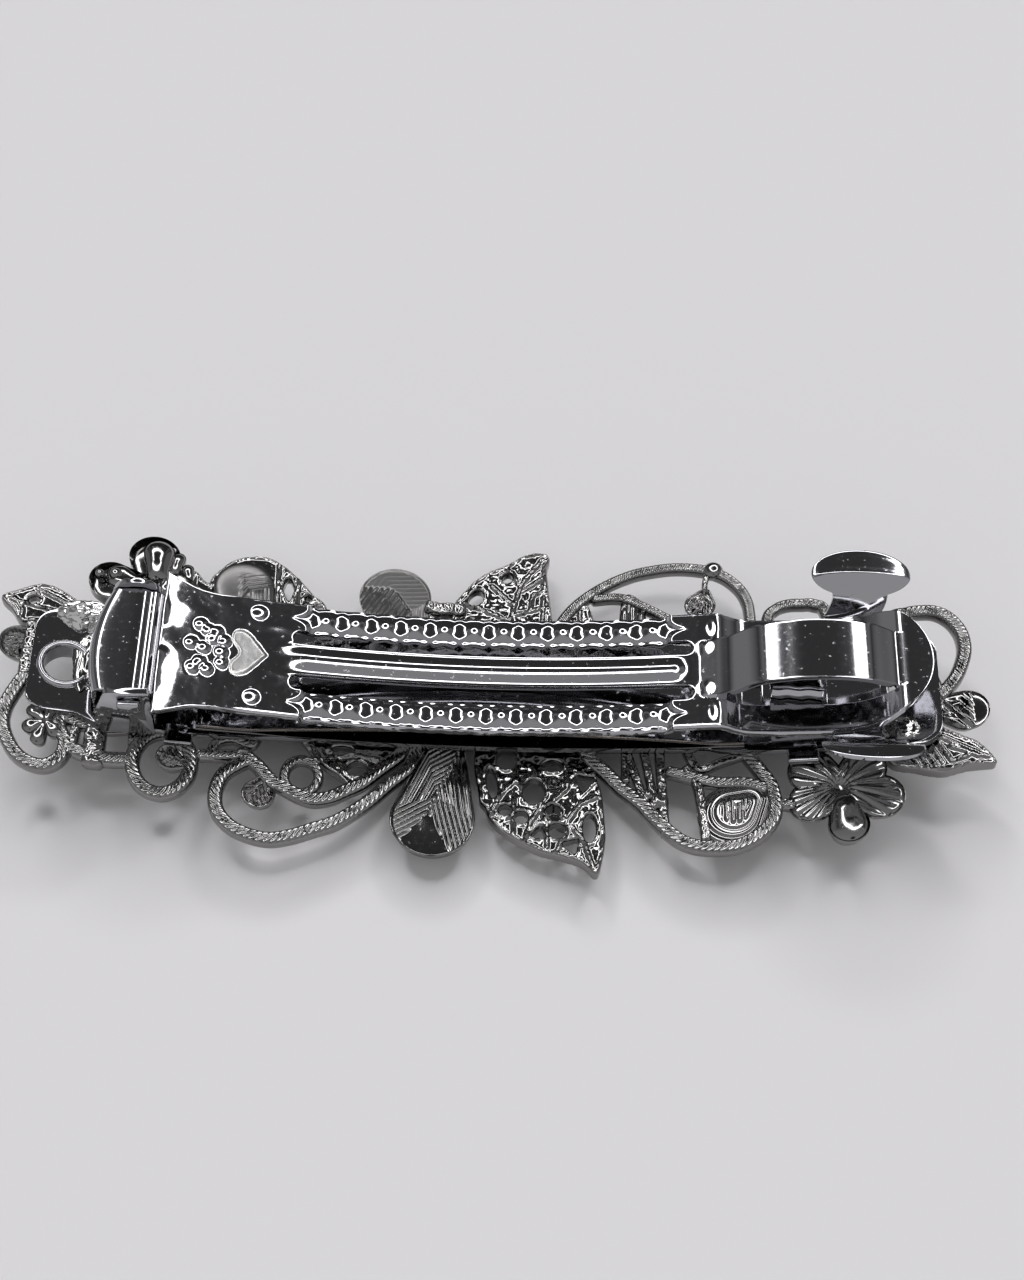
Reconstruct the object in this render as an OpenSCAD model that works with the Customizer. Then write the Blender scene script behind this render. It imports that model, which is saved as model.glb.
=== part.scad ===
// An automatic hair barrette that lies face down: a cast filigree plaque with a pressed clasp on its back.
// X runs along the clip, from the hinge at the left to the latch at the right. Z is up, away from the
// plaque's front, which faces down. All sizes are in millimetres.

/* [Base plate] */
// Length of the base plate
base_length = 70; // [69:0.5:71]
// Half width of the base plate at its ends
base_half = 5; // [4.9:0.05:5.1]
// Half width of the base plate at its waist
waist_half = 4.6; // [4.4:0.1:4.8]
// Thickness of the base plate
base_sheet = 0.6; // [0.5:0.05:0.7]
// Radius of the round hole in the hinge end
sewing_hole_r = 1.85; // [1.5:0.05:2]
// Radius of the round hole in the latch end
latch_hole_r = 1.3; // [1:0.1:1.5]

/* [Hinge] */
// Distance of the hinge axis from the clip's middle
hinge_x = 26.6; // [26.5:0.1:26.7]
// Height of the hinge axis
hinge_z = 9.4; // [9.3:0.05:9.5]
// Radius of the round lugs that turn in the ears
lug_r = 0.5; // [0.4:0.05:0.55]
// Clearance between a lug and its bore, on the radius
lug_clearance = 0.05; // [0.03:0.01:0.1]
// Thickness of an ear
ear_sheet = 0.5; // [0.4:0.05:0.5]

/* [Arm] */
// Half width of the arm
arm_half = 5.15; // [5:0.05:5.2]
// Thickness of the arm's sheet
arm_sheet = 0.55; // [0.5:0.05:0.6]
// Height of the arm's top at the clip's middle
arm_top = 7.25; // [7.2:0.05:7.6]
// Radius that the arm is bowed to
arm_bow_r = 107; // [105:1:110]
// Width of the two long slots
slot_width = 1.4; // [1.2:0.1:1.5]
// Number of pressed bosses in each row
boss_count = 12; // [6:1:12]
// Half width of the raised bridge over the catch
bridge_half = 2.5; // [2.3:0.1:2.5]

/* [Springs] */
// Thickness of the bow spring
bow_sheet = 0.4; // [0.3:0.05:0.45]
// Half width of the bow spring
bow_half = 4.5; // [4:0.1:4.6]
// Thickness of the latch spring
latch_sheet = 0.5; // [0.4:0.05:0.5]
// Distance from the middle to the tip of a finger tab
tab_reach = 9.75; // [9.5:0.05:9.8]

/* [Plaque] */
// Height of the plaque's back at the clip's middle
back_mid = 3.1; // [3:0.05:3.1]
// Radius that the plaque and the base plate are bowed to
bow_r = 180; // [175:1:190]
// Width of the rope scrolls
shoulder = 1.15; // [1:0.05:1.2]
// Depth of the rope scrolls
rope_depth = 1.2; // [1:0.1:1.4]
// Depth of the small cups
cup_depth = 1.8; // [1.5:0.1:2]
// Depth of the petals' walls
petal_depth = 1.9; // [1.7:0.1:2]

/* [Hidden] */
gunmetal = [0.30, 0.30, 0.32];
dark_cast = [0.22, 0.22, 0.23];
// Small gap between pieces that lie on each other
seat_gap = 0.05;
// The clip's box is centred on the origin by this shift
origin_shift = [-0.345, 0.15, 0];
base_top = back_mid + seat_gap + base_sheet;
// Height or width that passes right through the clip
through = 16;
// Sides of the large circles that the sheets are bowed to
bow_sides = 360;

// Height of the plaque's back, the base plate's top and the arm's top at a place along the clip
function back_z(x) = back_mid + x * x / (2 * bow_r);
function base_z(x) = base_top + x * x / (2 * bow_r);
function arm_z(x) = arm_top + x * x / (2 * arm_bow_r);

// A smooth line through points chosen by hand
function along(a, b, c, d, t) =
    0.5 * (2 * b + (c - a) * t + (2 * a - 5 * b + 4 * c - d) * t * t + (3 * b - a - 3 * c + d) * t * t * t);
function smooth(pts, n) = let (last = len(pts) - 1) concat(
    [for (i = [0 : last - 1], k = [0 : n - 1])
        along(pts[max(i - 1, 0)], pts[i], pts[i + 1], pts[min(i + 2, last)], k / n)],
    [pts[last]]);
function ring(centre, rx, ry, n) = [for (i = [0 : n - 1]) centre + [rx * cos(i * 360 / n), ry * sin(i * 360 / n)]];

// A strip bowed upwards at its ends, as high at the middle as top says
module bowed_sheet(top, radius, sheet) {
    translate([0, 0, top + radius])
        rotate([90, 0, 0])
            difference() {
                cylinder(r = radius + sheet, h = 1.5 * through, center = true, $fn = bow_sides);
                cylinder(r = radius, h = 2 * through, center = true, $fn = bow_sides);
            }
}

// The same, bowed downwards at its ends
module arched_sheet(top, radius, sheet) {
    translate([0, 0, top - radius])
        rotate([90, 0, 0])
            difference() {
                cylinder(r = radius, h = 1.5 * through, center = true, $fn = bow_sides);
                cylinder(r = radius - sheet, h = 2 * through, center = true, $fn = bow_sides);
            }
}

// A flat bar with round corners, drawn from above
module round_bar(x0, x1, half, r) {
    translate([x0 + r, -half]) square([x1 - x0 - 2 * r, 2 * half]);
    translate([x0, r - half]) square([x1 - x0, 2 * (half - r)]);
    for (x = [x0 + r, x1 - r], y = [r - half, half - r]) translate([x, y]) circle(r = r, $fn = 48);
}

// A strip of sheet that follows a side profile, given as [x, z] points of its top
module profile_strip(top, sheet, y0, y1) {
    lower = [for (i = [len(top) - 1 : -1 : 0]) top[i] - [0, sheet]];
    translate([0, y1, 0])
        rotate([90, 0, 0])
            linear_extrude(y1 - y0) polygon(concat(top, lower));
}

// Base plate: bowed strip, end holes, side lugs and hinge ears
ear_inner = 4.75;
ear_left = -29.1;
ear_right = -25;
ear_top_far = 11.25;
ear_top_near = 10.4;
hole_x = 32.4;
// Side lugs: first and last x, half width
base_lugs = [[-24.4, -22.2, 6.05], [23.3, 25.7, 6.1]];

module base_outline() {
    waist_x = 14;
    wide_x = 22;
    end_x = base_length / 2;
    difference() {
        union() {
            round_bar(-end_x, end_x, base_half, 1.8);
            for (lug = base_lugs) round_bar(lug[0], lug[1], lug[2], 0.4);
            translate([ear_left, -ear_inner - ear_sheet])
                square([ear_right - ear_left, 2 * (ear_inner + ear_sheet)]);
        }
        for (side = [-1, 1])
            polygon([[-wide_x, side * (base_half + 0.01)], [-waist_x, side * waist_half],
                     [waist_x, side * waist_half], [wide_x, side * (base_half + 0.01)],
                     [0, side * (base_half + 1)]]);
    }
}

// Side view of an ear: round about the hinge on the arm's side, rounded at the left
module ear_profile(top) {
    foot_z = base_z(ear_left) - base_sheet / 2;
    crown_r = 1.8;
    intersection() {
        union() {
            translate([-hinge_x, hinge_z]) circle(r = crown_r, $fn = 64);
            translate([ear_left + crown_r, hinge_z]) circle(r = crown_r, $fn = 64);
            translate([ear_left + crown_r, foot_z])
                square([-hinge_x - ear_left - crown_r, hinge_z + crown_r - foot_z]);
            translate([ear_left, foot_z]) square([ear_right - ear_left, hinge_z - foot_z]);
        }
        translate([ear_left - 1, foot_z]) square([ear_right - ear_left + 2, top - foot_z]);
    }
}

module ear(side, top) {
    translate([0, side * (ear_inner + ear_sheet / 2), 0])
        rotate([90, 0, 0])
            linear_extrude(ear_sheet, center = true) ear_profile(top);
}

// A round hole square to the bowed sheet
module end_hole(x, r) {
    translate([x, 0, base_z(x)])
        rotate([0, -asin(x / bow_r), 0])
            cylinder(r = r, h = 4 * base_sheet, center = true, $fn = 64);
}

module base_plate() {
    color(gunmetal)
        translate(origin_shift)
            difference() {
                union() {
                    intersection() {
                        bowed_sheet(base_top, bow_r, base_sheet);
                        linear_extrude(through) base_outline();
                    }
                    ear(1, ear_top_far);
                    ear(-1, ear_top_near);
                }
                end_hole(-hole_x, sewing_hole_r);
                end_hole(hole_x, latch_hole_r);
                translate([-hinge_x, 0, hinge_z])
                    rotate([90, 0, 0])
                        cylinder(r = lug_r + lug_clearance, h = through, center = true, $fn = 48);
            }
}

// Bow spring: an arch whose two feet lie on the base plate
bow_foot_x = 18;
bow_left = -22;
bow_right = 20;
// Length that the arch laps into each foot
bow_lap = 0.4;
// The arch's radius makes its underside meet the feet
bow_rise = 1.6;
bow_spring_top = base_top + seat_gap + bow_rise + bow_sheet;
bow_drop = bow_rise - bow_foot_x * bow_foot_x / (2 * bow_r);
bow_spring_r = (bow_foot_x * bow_foot_x + bow_drop * bow_drop) / (2 * bow_drop);

module bow_spring() {
    color(gunmetal)
        translate(origin_shift) {
            intersection() {
                arched_sheet(bow_spring_top, bow_spring_r, bow_sheet);
                translate([-bow_foot_x - bow_lap, -bow_half, 0])
                    cube([2 * (bow_foot_x + bow_lap), 2 * bow_half, through]);
                translate([0, 0, base_top + seat_gap + bow_r])
                    rotate([90, 0, 0])
                        cylinder(r = bow_r, h = through, center = true, $fn = bow_sides);
            }
            intersection() {
                bowed_sheet(base_top + seat_gap + bow_sheet, bow_r - bow_sheet, bow_sheet);
                union() {
                    translate([bow_left, -bow_half, 0]) cube([-bow_foot_x - bow_left, 2 * bow_half, through]);
                    translate([bow_foot_x, -bow_half, 0]) cube([bow_right - bow_foot_x, 2 * bow_half, through]);
                }
            }
        }
}

// Latch spring: a foot on the base plate, two hooks that stand inside the ring, two finger tabs
latch_left = 21.4;
latch_right = 30.4;
neck_left = 26.3;
neck_right = 30.5;
hook_left = 21.8;
hook_right = 25.8;
hook_top = 9.4;
// Where the top of a finger tab leaves its knee, just outside the base plate
bend_y = 4.75;
bend_z = 6.9;
// Half width of the foot at the necks
neck_half = 4.4;
tab_tip_z = 11.05;
tab_angle = atan2(tab_tip_z - bend_z, tab_reach - bend_y);
tab_length = norm([tab_tip_z - bend_z, tab_reach - bend_y]);
// Finger tab: half width and height of its lens-shaped head
head_half = 3.85;
head_half_height = 1.75;
head_x = 29;
head_end_r = 1.1;
// Half width of the foot between the hooks
latch_foot_half = 3;

module tab_outline() {
    lens_r = (head_half * head_half + head_half_height * head_half_height) / (2 * head_half_height);
    head_y = tab_length - head_half_height;
    translate([neck_left, 0]) square([neck_right - neck_left, head_y]);
    translate([head_x, head_y]) {
        intersection() {
            translate([0, lens_r - head_half_height]) circle(r = lens_r, $fn = 96);
            translate([0, head_half_height - lens_r]) circle(r = lens_r, $fn = 96);
        }
        for (side = [-1, 1]) translate([side * (head_half - 1.25), 0]) circle(r = head_end_r, $fn = 40);
    }
}

module finger_tab(side) {
    mirror([0, side < 0 ? 1 : 0, 0])
        translate([0, bend_y, bend_z])
            rotate([tab_angle, 0, 0])
                translate([0, 0, -latch_sheet]) linear_extrude(latch_sheet) tab_outline();
}

// The bend between the foot and a finger tab, clear of the base plate
module knee(side) {
    slice = 0.02;
    inset = 0.05;
    mirror([0, side < 0 ? 1 : 0, 0])
        hull()
            for (x = [neck_left + inset, neck_right - inset - slice])
                translate([x, 0, 0])
                    rotate([90, 0, 90])
                        linear_extrude(slice)
                            polygon([[neck_half - 0.3, base_z(x) + 2 * seat_gap],
                                     [neck_half - 0.3, base_z(x) + latch_sheet],
                                     [bend_y + 0.1, bend_z + 0.05],
                                     [bend_y + 0.4, bend_z - 0.28],
                                     [base_half - 0.1, base_z(x) + 2 * seat_gap]]);
}

module hook(side) {
    hook_out = 2.3;
    barb = 0.25;
    // Just above the base plate at the hook's high end
    foot_z = base_z(hook_right) + seat_gap + 0.02;
    mirror([0, side < 0 ? 1 : 0, 0])
        translate([hook_right, 0, 0])
            rotate([0, -90, 0])
                linear_extrude(hook_right - hook_left)
                    polygon([[foot_z, hook_out - latch_sheet],
                             [foot_z, hook_out],
                             [hook_top - 0.7, hook_out],
                             [hook_top - 0.6, hook_out + barb],
                             [hook_top, hook_out],
                             [hook_top, hook_out - latch_sheet]]);
}

module latch_spring() {
    color(gunmetal)
        translate(origin_shift) {
            intersection() {
                bowed_sheet(base_top + seat_gap + latch_sheet, bow_r - latch_sheet, latch_sheet);
                union() {
                    translate([latch_left, -latch_foot_half, 0])
                        cube([latch_right - latch_left, 2 * latch_foot_half, through]);
                    translate([neck_left, -neck_half, 0])
                        cube([neck_right - neck_left, 2 * neck_half, through]);
                }
            }
            for (side = [-1, 1]) {
                hook(side);
                knee(side);
                finger_tab(side);
            }
        }
}

// Arm: bowed embossed strip, flared at the hinge, with the rolled hinge end and the catch ring
arm_left = -24.7;
arm_right = 18.4;
flare_half = 6.5;
slot_y = 2.05;
slot_left = -14.9;
slot_right = 16;
boss_first = -12.4;
boss_last = 12.8;
boss_y = 3.9;
boss_cap = 0.25;
rail_inner = bridge_half + 0.2;
// Raised line along the strip's middle: end, half width, rise
rib_end = 15.2;
rib_half = 0.45;
rib_rise = 0.2;
lip_x = 28.8;
roll_left = -29.3;
roll_right = -25.2;
roll_top = 9.9;
roll_low = 7.5;
roll_half = 4.6;
// Strap that joins the rolled end to the strip: underside and thickness
strap_z = 8.9;
strap_sheet = 0.75;
lug_head = [1.7, 1];
lug_head_sheet = 0.45;
// Side view of the bridge's top: x, z
bridge_top = [[17.6, 8.70], [18.4, 9.05], [19.4, 9.95], [20.4, 10.65], [21.5, 11.15], [23, 11.55], [25, 11.85],
              [27.3, 12.05], [28.6, 12.0], [29.6, 11.8], [30.4, 11.35], [31.1, 10.85], [31.8, 10.75],
              [34.2, 10.95]];
// Side view of the two rails' tops, which end in the upturned lip: x, z
rail_top = [[17.6, 8.70], [18.6, 8.75], [19.5, 8.45], [20.3, 7.95], [21.2, 7.85], [24, 8.05], [27, 8.4],
            [28.6, 8.85], [30, 9.65], [31.1, 10.35], [31.8, 10.75], [34.2, 10.95]];

module arm_outline() {
    polygon([[arm_left, -flare_half], [-23.3, -5.85], [-22, -5.35], [-20.5, -arm_half], [arm_right, -arm_half],
             [arm_right, arm_half], [-20.5, arm_half], [-22, 5.35], [-23.3, 5.85], [arm_left, flare_half]]);
}

module ring_outline() {
    translate([17, -arm_half]) square([lip_x - 17, 2 * arm_half]);
    translate([lip_x, 0]) circle(r = arm_half, $fn = 96);
}

module slot(y) {
    r = slot_width / 2;
    translate([slot_left + r, y - r]) square([slot_right - slot_left - slot_width, slot_width]);
    for (x = [slot_left + r, slot_right - r]) translate([x, y]) circle(r = r, $fn = 32);
}

// A round pressed boss, a ball cut off by the sheet
module boss(x, y, r) {
    ball = (r * r + boss_cap * boss_cap) / (2 * boss_cap);
    translate([x, y, arm_z(x) + boss_cap - ball]) sphere(r = ball, $fn = 48);
}

module bosses() {
    pitch = (boss_last - boss_first) / (boss_count - 1);
    rosette_x = -21.5;
    intersection() {
        union() {
            for (i = [0 : boss_count - 1], side = [-1, 1]) boss(boss_first + i * pitch, side * boss_y, 0.9);
            for (side = [-1, 1]) boss(-17.4, side * boss_y, 0.8);
            boss(rosette_x, 0, 0.6);
            for (a = [0 : 60 : 300]) boss(rosette_x + 1.35 * cos(a), 1.6 * sin(a), 0.55);
        }
        bowed_sheet(arm_top + 1, arm_bow_r - 1, 1.3);
    }
}

// The rolled end: a channel open below, with a round lug at each side
module rolled_end() {
    bend = 1.1;
    rotate([90, 0, 0])
        linear_extrude(2 * roll_half, center = true)
            difference() {
                union() {
                    translate([roll_left, roll_low]) square([roll_right - roll_left, roll_top - bend - roll_low]);
                    translate([roll_left + bend, roll_low])
                        square([roll_right - roll_left - 2 * bend, roll_top - roll_low]);
                    for (x = [roll_left + bend, roll_right - bend])
                        translate([x, roll_top - bend]) circle(r = bend, $fn = 48);
                    translate([roll_right - bend, strap_z])
                        square([arm_left + 0.6 - roll_right + bend, strap_sheet]);
                }
                translate([roll_left + arm_sheet, roll_low - 1])
                    square([roll_right - roll_left - 2 * arm_sheet, roll_top - arm_sheet - roll_low + 1 - 0.5]);
                translate([roll_left + bend, roll_low - 1])
                    square([roll_right - roll_left - 2 * bend, roll_top - arm_sheet - roll_low + 1]);
                translate([roll_right - arm_sheet - 0.1, roll_low - 1]) square([1, 1.9]);
            }
    lug_root = roll_half - 0.4;
    lug_length = ear_inner + ear_sheet + 2 * lug_clearance - lug_root;
    for (side = [-1, 1])
        translate([-hinge_x, side * lug_root, hinge_z])
            rotate([-90 * side, 0, 0]) {
                cylinder(r = lug_r, h = lug_length, $fn = 48);
                translate([0, 0, lug_length - lug_clearance])
                    linear_extrude(lug_head_sheet) square(lug_head, center = true);
            }
}

module arm() {
    color(gunmetal)
        translate(origin_shift) {
            difference() {
                intersection() {
                    bowed_sheet(arm_top, arm_bow_r, arm_sheet);
                    linear_extrude(through) arm_outline();
                }
                linear_extrude(through) for (side = [-1, 1]) slot(side * slot_y);
            }
            bosses();
            intersection() {
                bowed_sheet(arm_top + rib_rise, arm_bow_r - rib_rise, 2 * rib_rise);
                linear_extrude(through) round_bar(-rib_end, rib_end, rib_half, 0.4);
            }
            intersection() {
                union() {
                    profile_strip(bridge_top, arm_sheet, -bridge_half, bridge_half);
                    profile_strip(rail_top, arm_sheet, -6, -rail_inner);
                    profile_strip(rail_top, arm_sheet, rail_inner, 6);
                    profile_strip([[31.3, 10.48], [31.8, 10.75], [34.2, 10.95]], arm_sheet, -3, 3);
                }
                linear_extrude(through) ring_outline();
            }
            rolled_end();
        }
}

// Filigree: one plan, drawn from above and cut from a bowed slab
slab_sides = 244;
// Depth that cups and petals start below the back
sunk = 0.3;
spine_y = 3.5;
spine_w = 0.8;
// Width of the thin scrolls
fine = 0.7;
dish_depth = 0.7;
dish_rim = 0.4;

// Sets a plan down from the back at a place along the clip, square to the bow
module cast(x, depth, drop = 0) {
    translate([x, 0, back_z(x)])
        rotate([0, -asin(x / bow_r), 0])
            translate([-x, 0, -drop - depth])
                linear_extrude(depth) children();
}

// The slab that the scrolls and leaves are cut from, in short flat lengths
module bowed_slab() {
    translate([0, 0, back_mid + bow_r])
        rotate([90, 0, 0])
            difference() {
                cylinder(r = bow_r + rope_depth, h = 2.5 * through, center = true, $fn = slab_sides);
                cylinder(r = bow_r, h = 3 * through, center = true, $fn = slab_sides);
            }
}

// A band of constant width along a line of points, with round ends
module stroke(pts, w) {
    n = len(pts) - 1;
    normal = [for (i = [0 : n]) let (d = pts[min(i + 1, n)] - pts[max(i - 1, 0)]) [-d[1], d[0]] / norm(d)];
    polygon(concat([for (i = [0 : n]) pts[i] + normal[i] * w / 2],
                   [for (i = [n : -1 : 0]) pts[i] - normal[i] * w / 2]));
    for (p = [pts[0], pts[n]]) translate(p) circle(d = w, $fn = 8);
}

module rope(pts, w = shoulder, n = 2) stroke(smooth(pts, n), w);

module closed_rope(centre, rx, ry, w = shoulder, n = 20) {
    difference() {
        polygon(ring(centre, rx + w / 2, ry + w / 2, n));
        polygon(ring(centre, rx - w / 2, ry - w / 2, n));
    }
}

// Oval hole: centre, half sizes, turn
module oval(centre, rx, ry, turn = 0, n = 9) {
    translate(centre) rotate(turn) polygon(ring([0, 0], rx, ry, n));
}

// Drop outline: a round end and a smaller end
module drop_area(round_end, r, tip, tip_r, n = 20) {
    hull() {
        translate(round_end) circle(r = r, $fn = n);
        translate(tip) circle(r = tip_r, $fn = 10);
    }
}

// A cup: ribbed dish at the back, domed front as deep as depth says
module cup(round_end, r, tip, tip_r, depth = cup_depth, n = 20) {
    x = round_end[0];
    difference() {
        hull() {
            cast(x, 0.5, sunk) drop_area(round_end, r, tip, tip_r, n);
            cast(x, 0.1, depth) drop_area(round_end, r * 0.6, (tip + round_end) / 2, tip_r * 0.6, n);
        }
        cast(x, dish_depth + 1, sunk - 1) drop_area(round_end, r - dish_rim, tip, max(tip_r - dish_rim, 0.1), n);
    }
}

// A cup whose front is a level plateau that stands on the table
module standing_cup(round_end, r, tip, tip_r, plateau_r) {
    x = round_end[0];
    difference() {
        hull() {
            cast(x, 0.5, sunk) drop_area(round_end, r, tip, tip_r);
            translate([round_end[0], round_end[1], 0]) cylinder(r = plateau_r, h = 0.2, $fn = 20);
        }
        cast(x, dish_depth + 1, sunk - 1) drop_area(round_end, r - dish_rim, tip, tip_r - dish_rim);
    }
}

// A raised bead on the front that stands on the table
module standing_bead(centre, r) {
    translate([centre[0], centre[1], 0])
        hull() {
            cylinder(r = r, h = 0.2, $fn = 16);
            translate([0, 0, back_z(centre[0]) - 1]) cylinder(r = r + 0.9, h = 0.3, $fn = 16);
        }
}

// Petals round a centre, each given by the middle and radius of its round end
module flower(centre, petals) {
    cast(centre[0], petal_depth, sunk)
        for (p = petals)
            hull() {
                translate(centre) circle(r = p[2] * 0.4, $fn = 8);
                translate([p[0], p[1]]) circle(r = p[2], $fn = 14);
            }
}

// Outlines of the leaves and the shell, drawn round each from its base
left_leaf = [[-31, 4], [-33, 4], [-35, 4.2], [-36.4, 4], [-37.2, 5], [-38.2, 6.1], [-37, 7], [-35.2, 7.9],
             [-33.4, 7.4], [-31.2, 5.7]];
shell = [[-22.4, 4], [-22.5, 9.6], [-21.5, 11.6], [-20.4, 12.6], [-19.1, 13], [-17.9, 13], [-16.9, 12.5],
         [-16.1, 11.9], [-15, 10.8], [-14, 9.6], [-12.9, 8.4], [-12.3, 4]];
far_leaf = [[-2.4, 4], [-2.8, 9], [-2.2, 10.5], [-1.1, 12], [0, 12.9], [1.5, 13.7], [2.9, 14.7], [4.5, 14.9],
            [4.9, 14.2], [4.7, 13.2], [4.9, 10.8], [5.2, 8.2], [5.4, 4]];
near_leaf = [[0, -3.5], [-0.2, -8.4], [0.3, -9.4], [0.6, -10.3], [1.3, -11.2], [2.6, -12.2], [4.5, -13.2],
             [6, -13.6], [7.7, -14.2], [8.7, -15.2], [9.1, -14.7], [9.5, -12.2], [9.4, -10], [9.2, -8],
             [8.8, -6.7], [8, -3.5]];
right_leaf = [[30.8, -3.5], [31, -6], [32.9, -6.7], [34.2, -7.1], [35.2, -7.2], [36.5, -6.9], [37.7, -6.8],
              [38.9, -6.7], [38.4, -5.6], [37.6, -4.6], [36.6, -4], [35.6, -3.4], [34, -2.6]];
wavy_leaf = [[-26.4, 6], [-26, 12.4], [-25.1, 12.9], [-25.6, 11.8], [-24.9, 11.1], [-23.6, 11], [-22.8, 10.1],
             [-22, 9.3], [-22, 4]];

// Holes: middle x, y, half sizes, turn
near_leaf_holes = [[1.7, -5.4, 0.8, 0.8, 0], [0.5, -7.3, 0.35, 1.3, 8], [3.9, -8, 0.75, 1, 0],
                   [7.8, -7.3, 0.7, 0.6, 0], [5.5, -10, 0.5, 0.6, 0], [5.6, -11.7, 0.5, 0.5, 0],
                   [7, -12.8, 0.7, 0.6, 0], [8.5, -11.2, 0.4, 1, 0], [1.9, -10, 0.45, 0.45, 0],
                   [3.2, -10.3, 0.5, 0.45, 0], [4.1, -12.1, 0.6, 0.35, -20], [5.4, -5.6, 0.7, 0.4, 0]];
far_leaf_holes = [[-1.1, 10.2, 0.5, 0.9, -20], [1.9, 12.5, 0.4, 0.45, 0], [0.7, 9.7, 0.4, 0.45, 0],
                  [2.8, 9.6, 0.45, 0.4, 0], [3.9, 11.4, 0.35, 0.4, 0], [1, 6.4, 0.9, 1.1, 0],
                  [3.9, 6.4, 0.8, 1.1, 0]];
shell_holes = [[-16.1, 10, 0.4, 1.3, 5], [-14.4, 9.2, 0.3, 0.35, 0], [-20, 6, 1.3, 1, 0], [-16.4, 6, 1.2, 1, 0]];
left_leaf_holes = [[-36.2, 5.3, 0.3, 0.4, 0], [-34.8, 6.4, 0.5, 0.35, 15], [-33, 5.6, 0.6, 0.35, -15]];
right_leaf_holes = [[33.6, -5.4, 0.9, 0.35, 5], [36, -5.5, 0.9, 0.35, -5]];

module pierced(outline, holes) {
    difference() {
        polygon(outline);
        for (h = holes) oval([h[0], h[1]], h[2], h[3], h[4]);
    }
}

// The spine behind the base plate: two rails and cross bars, with gaps between
module spine() {
    bar_step = 4.3;
    bars = 15;
    rail_end = 34.5;
    for (side = [-1, 1]) translate([-rail_end, side * spine_y - spine_w / 2]) square([2 * rail_end, spine_w]);
    for (i = [0 : bars - 1]) {
        x = (i - (bars - 1) / 2) * bar_step;
        if (abs(abs(x) - hole_x) > 3) translate([x - 0.5, -spine_y]) square([1, 2 * spine_y]);
    }
}

// Scrolls of the hinge half
module left_scrolls() {
    rope([[-35.2, -0.6], [-35.8, -1.8], [-36.5, -4], [-36.4, -5.8], [-35.4, -7.7], [-34.2, -8.6], [-32.9, -8.7],
          [-31.9, -7.8], [-31.7, -6.4], [-32.3, -5.2], [-32.3, -3.5]]);
    rope([[-35.3, 4.2], [-35.4, -1.2]], 1.3, 1);
    rope([[-33.6, -3.4], [-31.2, -4.5], [-28.9, -4.8], [-26.95, -4.35]], 1, 1);
    rope([[-32, -6.6], [-30.4, -7.2], [-28.6, -7.5], [-26.4, -7.3]], 1.2, 1);
    rope([[-29.6, -4], [-29.5, -8.5]], 1.7, 1);
    rope([[-31, -3.5], [-31.2, -7]], 0.8, 1);
    rope([[-26.8, -3.5], [-26.6, -7]], 0.9, 1);
    closed_rope([-24.4, -7.3], 2.2, 2.75);
    rope([[-22, -6.3], [-20.3, -6.2], [-18.2, -6.1]], 0.9);
    rope([[-21, -6.4], [-20.4, -5], [-19.2, -4.6], [-17.8, -5], [-17.2, -3.6]], 0.7);
    rope([[-18.2, -6.6], [-19.6, -7.6], [-20.1, -9], [-20.1, -10.3], [-19.7, -11.4], [-18.7, -12.4],
          [-17.3, -13], [-15.8, -13.2], [-14.2, -12.8], [-12.6, -12.1], [-10.9, -11.3], [-8.8, -9.6],
          [-7.2, -7.8], [-5.6, -6], [-5, -3.6]]);
    rope([[-18.2, -6], [-17.1, -6.9], [-16.1, -8.1], [-15.1, -8.6], [-13.9, -9.2], [-12.8, -9.5], [-11.5, -9.2],
          [-10.3, -8.5], [-9.1, -7.7], [-7.9, -6.5], [-6.4, -5], [-5.8, -3.6]]);
    closed_rope([-13.8, -7.5], 1.3, 1.5, fine, 16);
    rope([[-14.2, -3.6], [-12.8, -5.6], [-12.9, -6.4]], fine, 1);
    difference() {
        polygon([[-12.5, -3.6], [-12.5, -6], [-11, -7.2], [-9.6, -8.2], [-7.4, -6.6], [-6, -3.6]]);
        oval([-9.6, -6.5], 0.8, 0.65);
        oval([-10.8, -4.9], 0.9, 0.4);
    }
    rope([[-4.6, 8.5], [-3, 8.5]], 1, 1);
    rope([[-5.6, 4], [-4.2, 8.3]], 1, 1);
}

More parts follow.
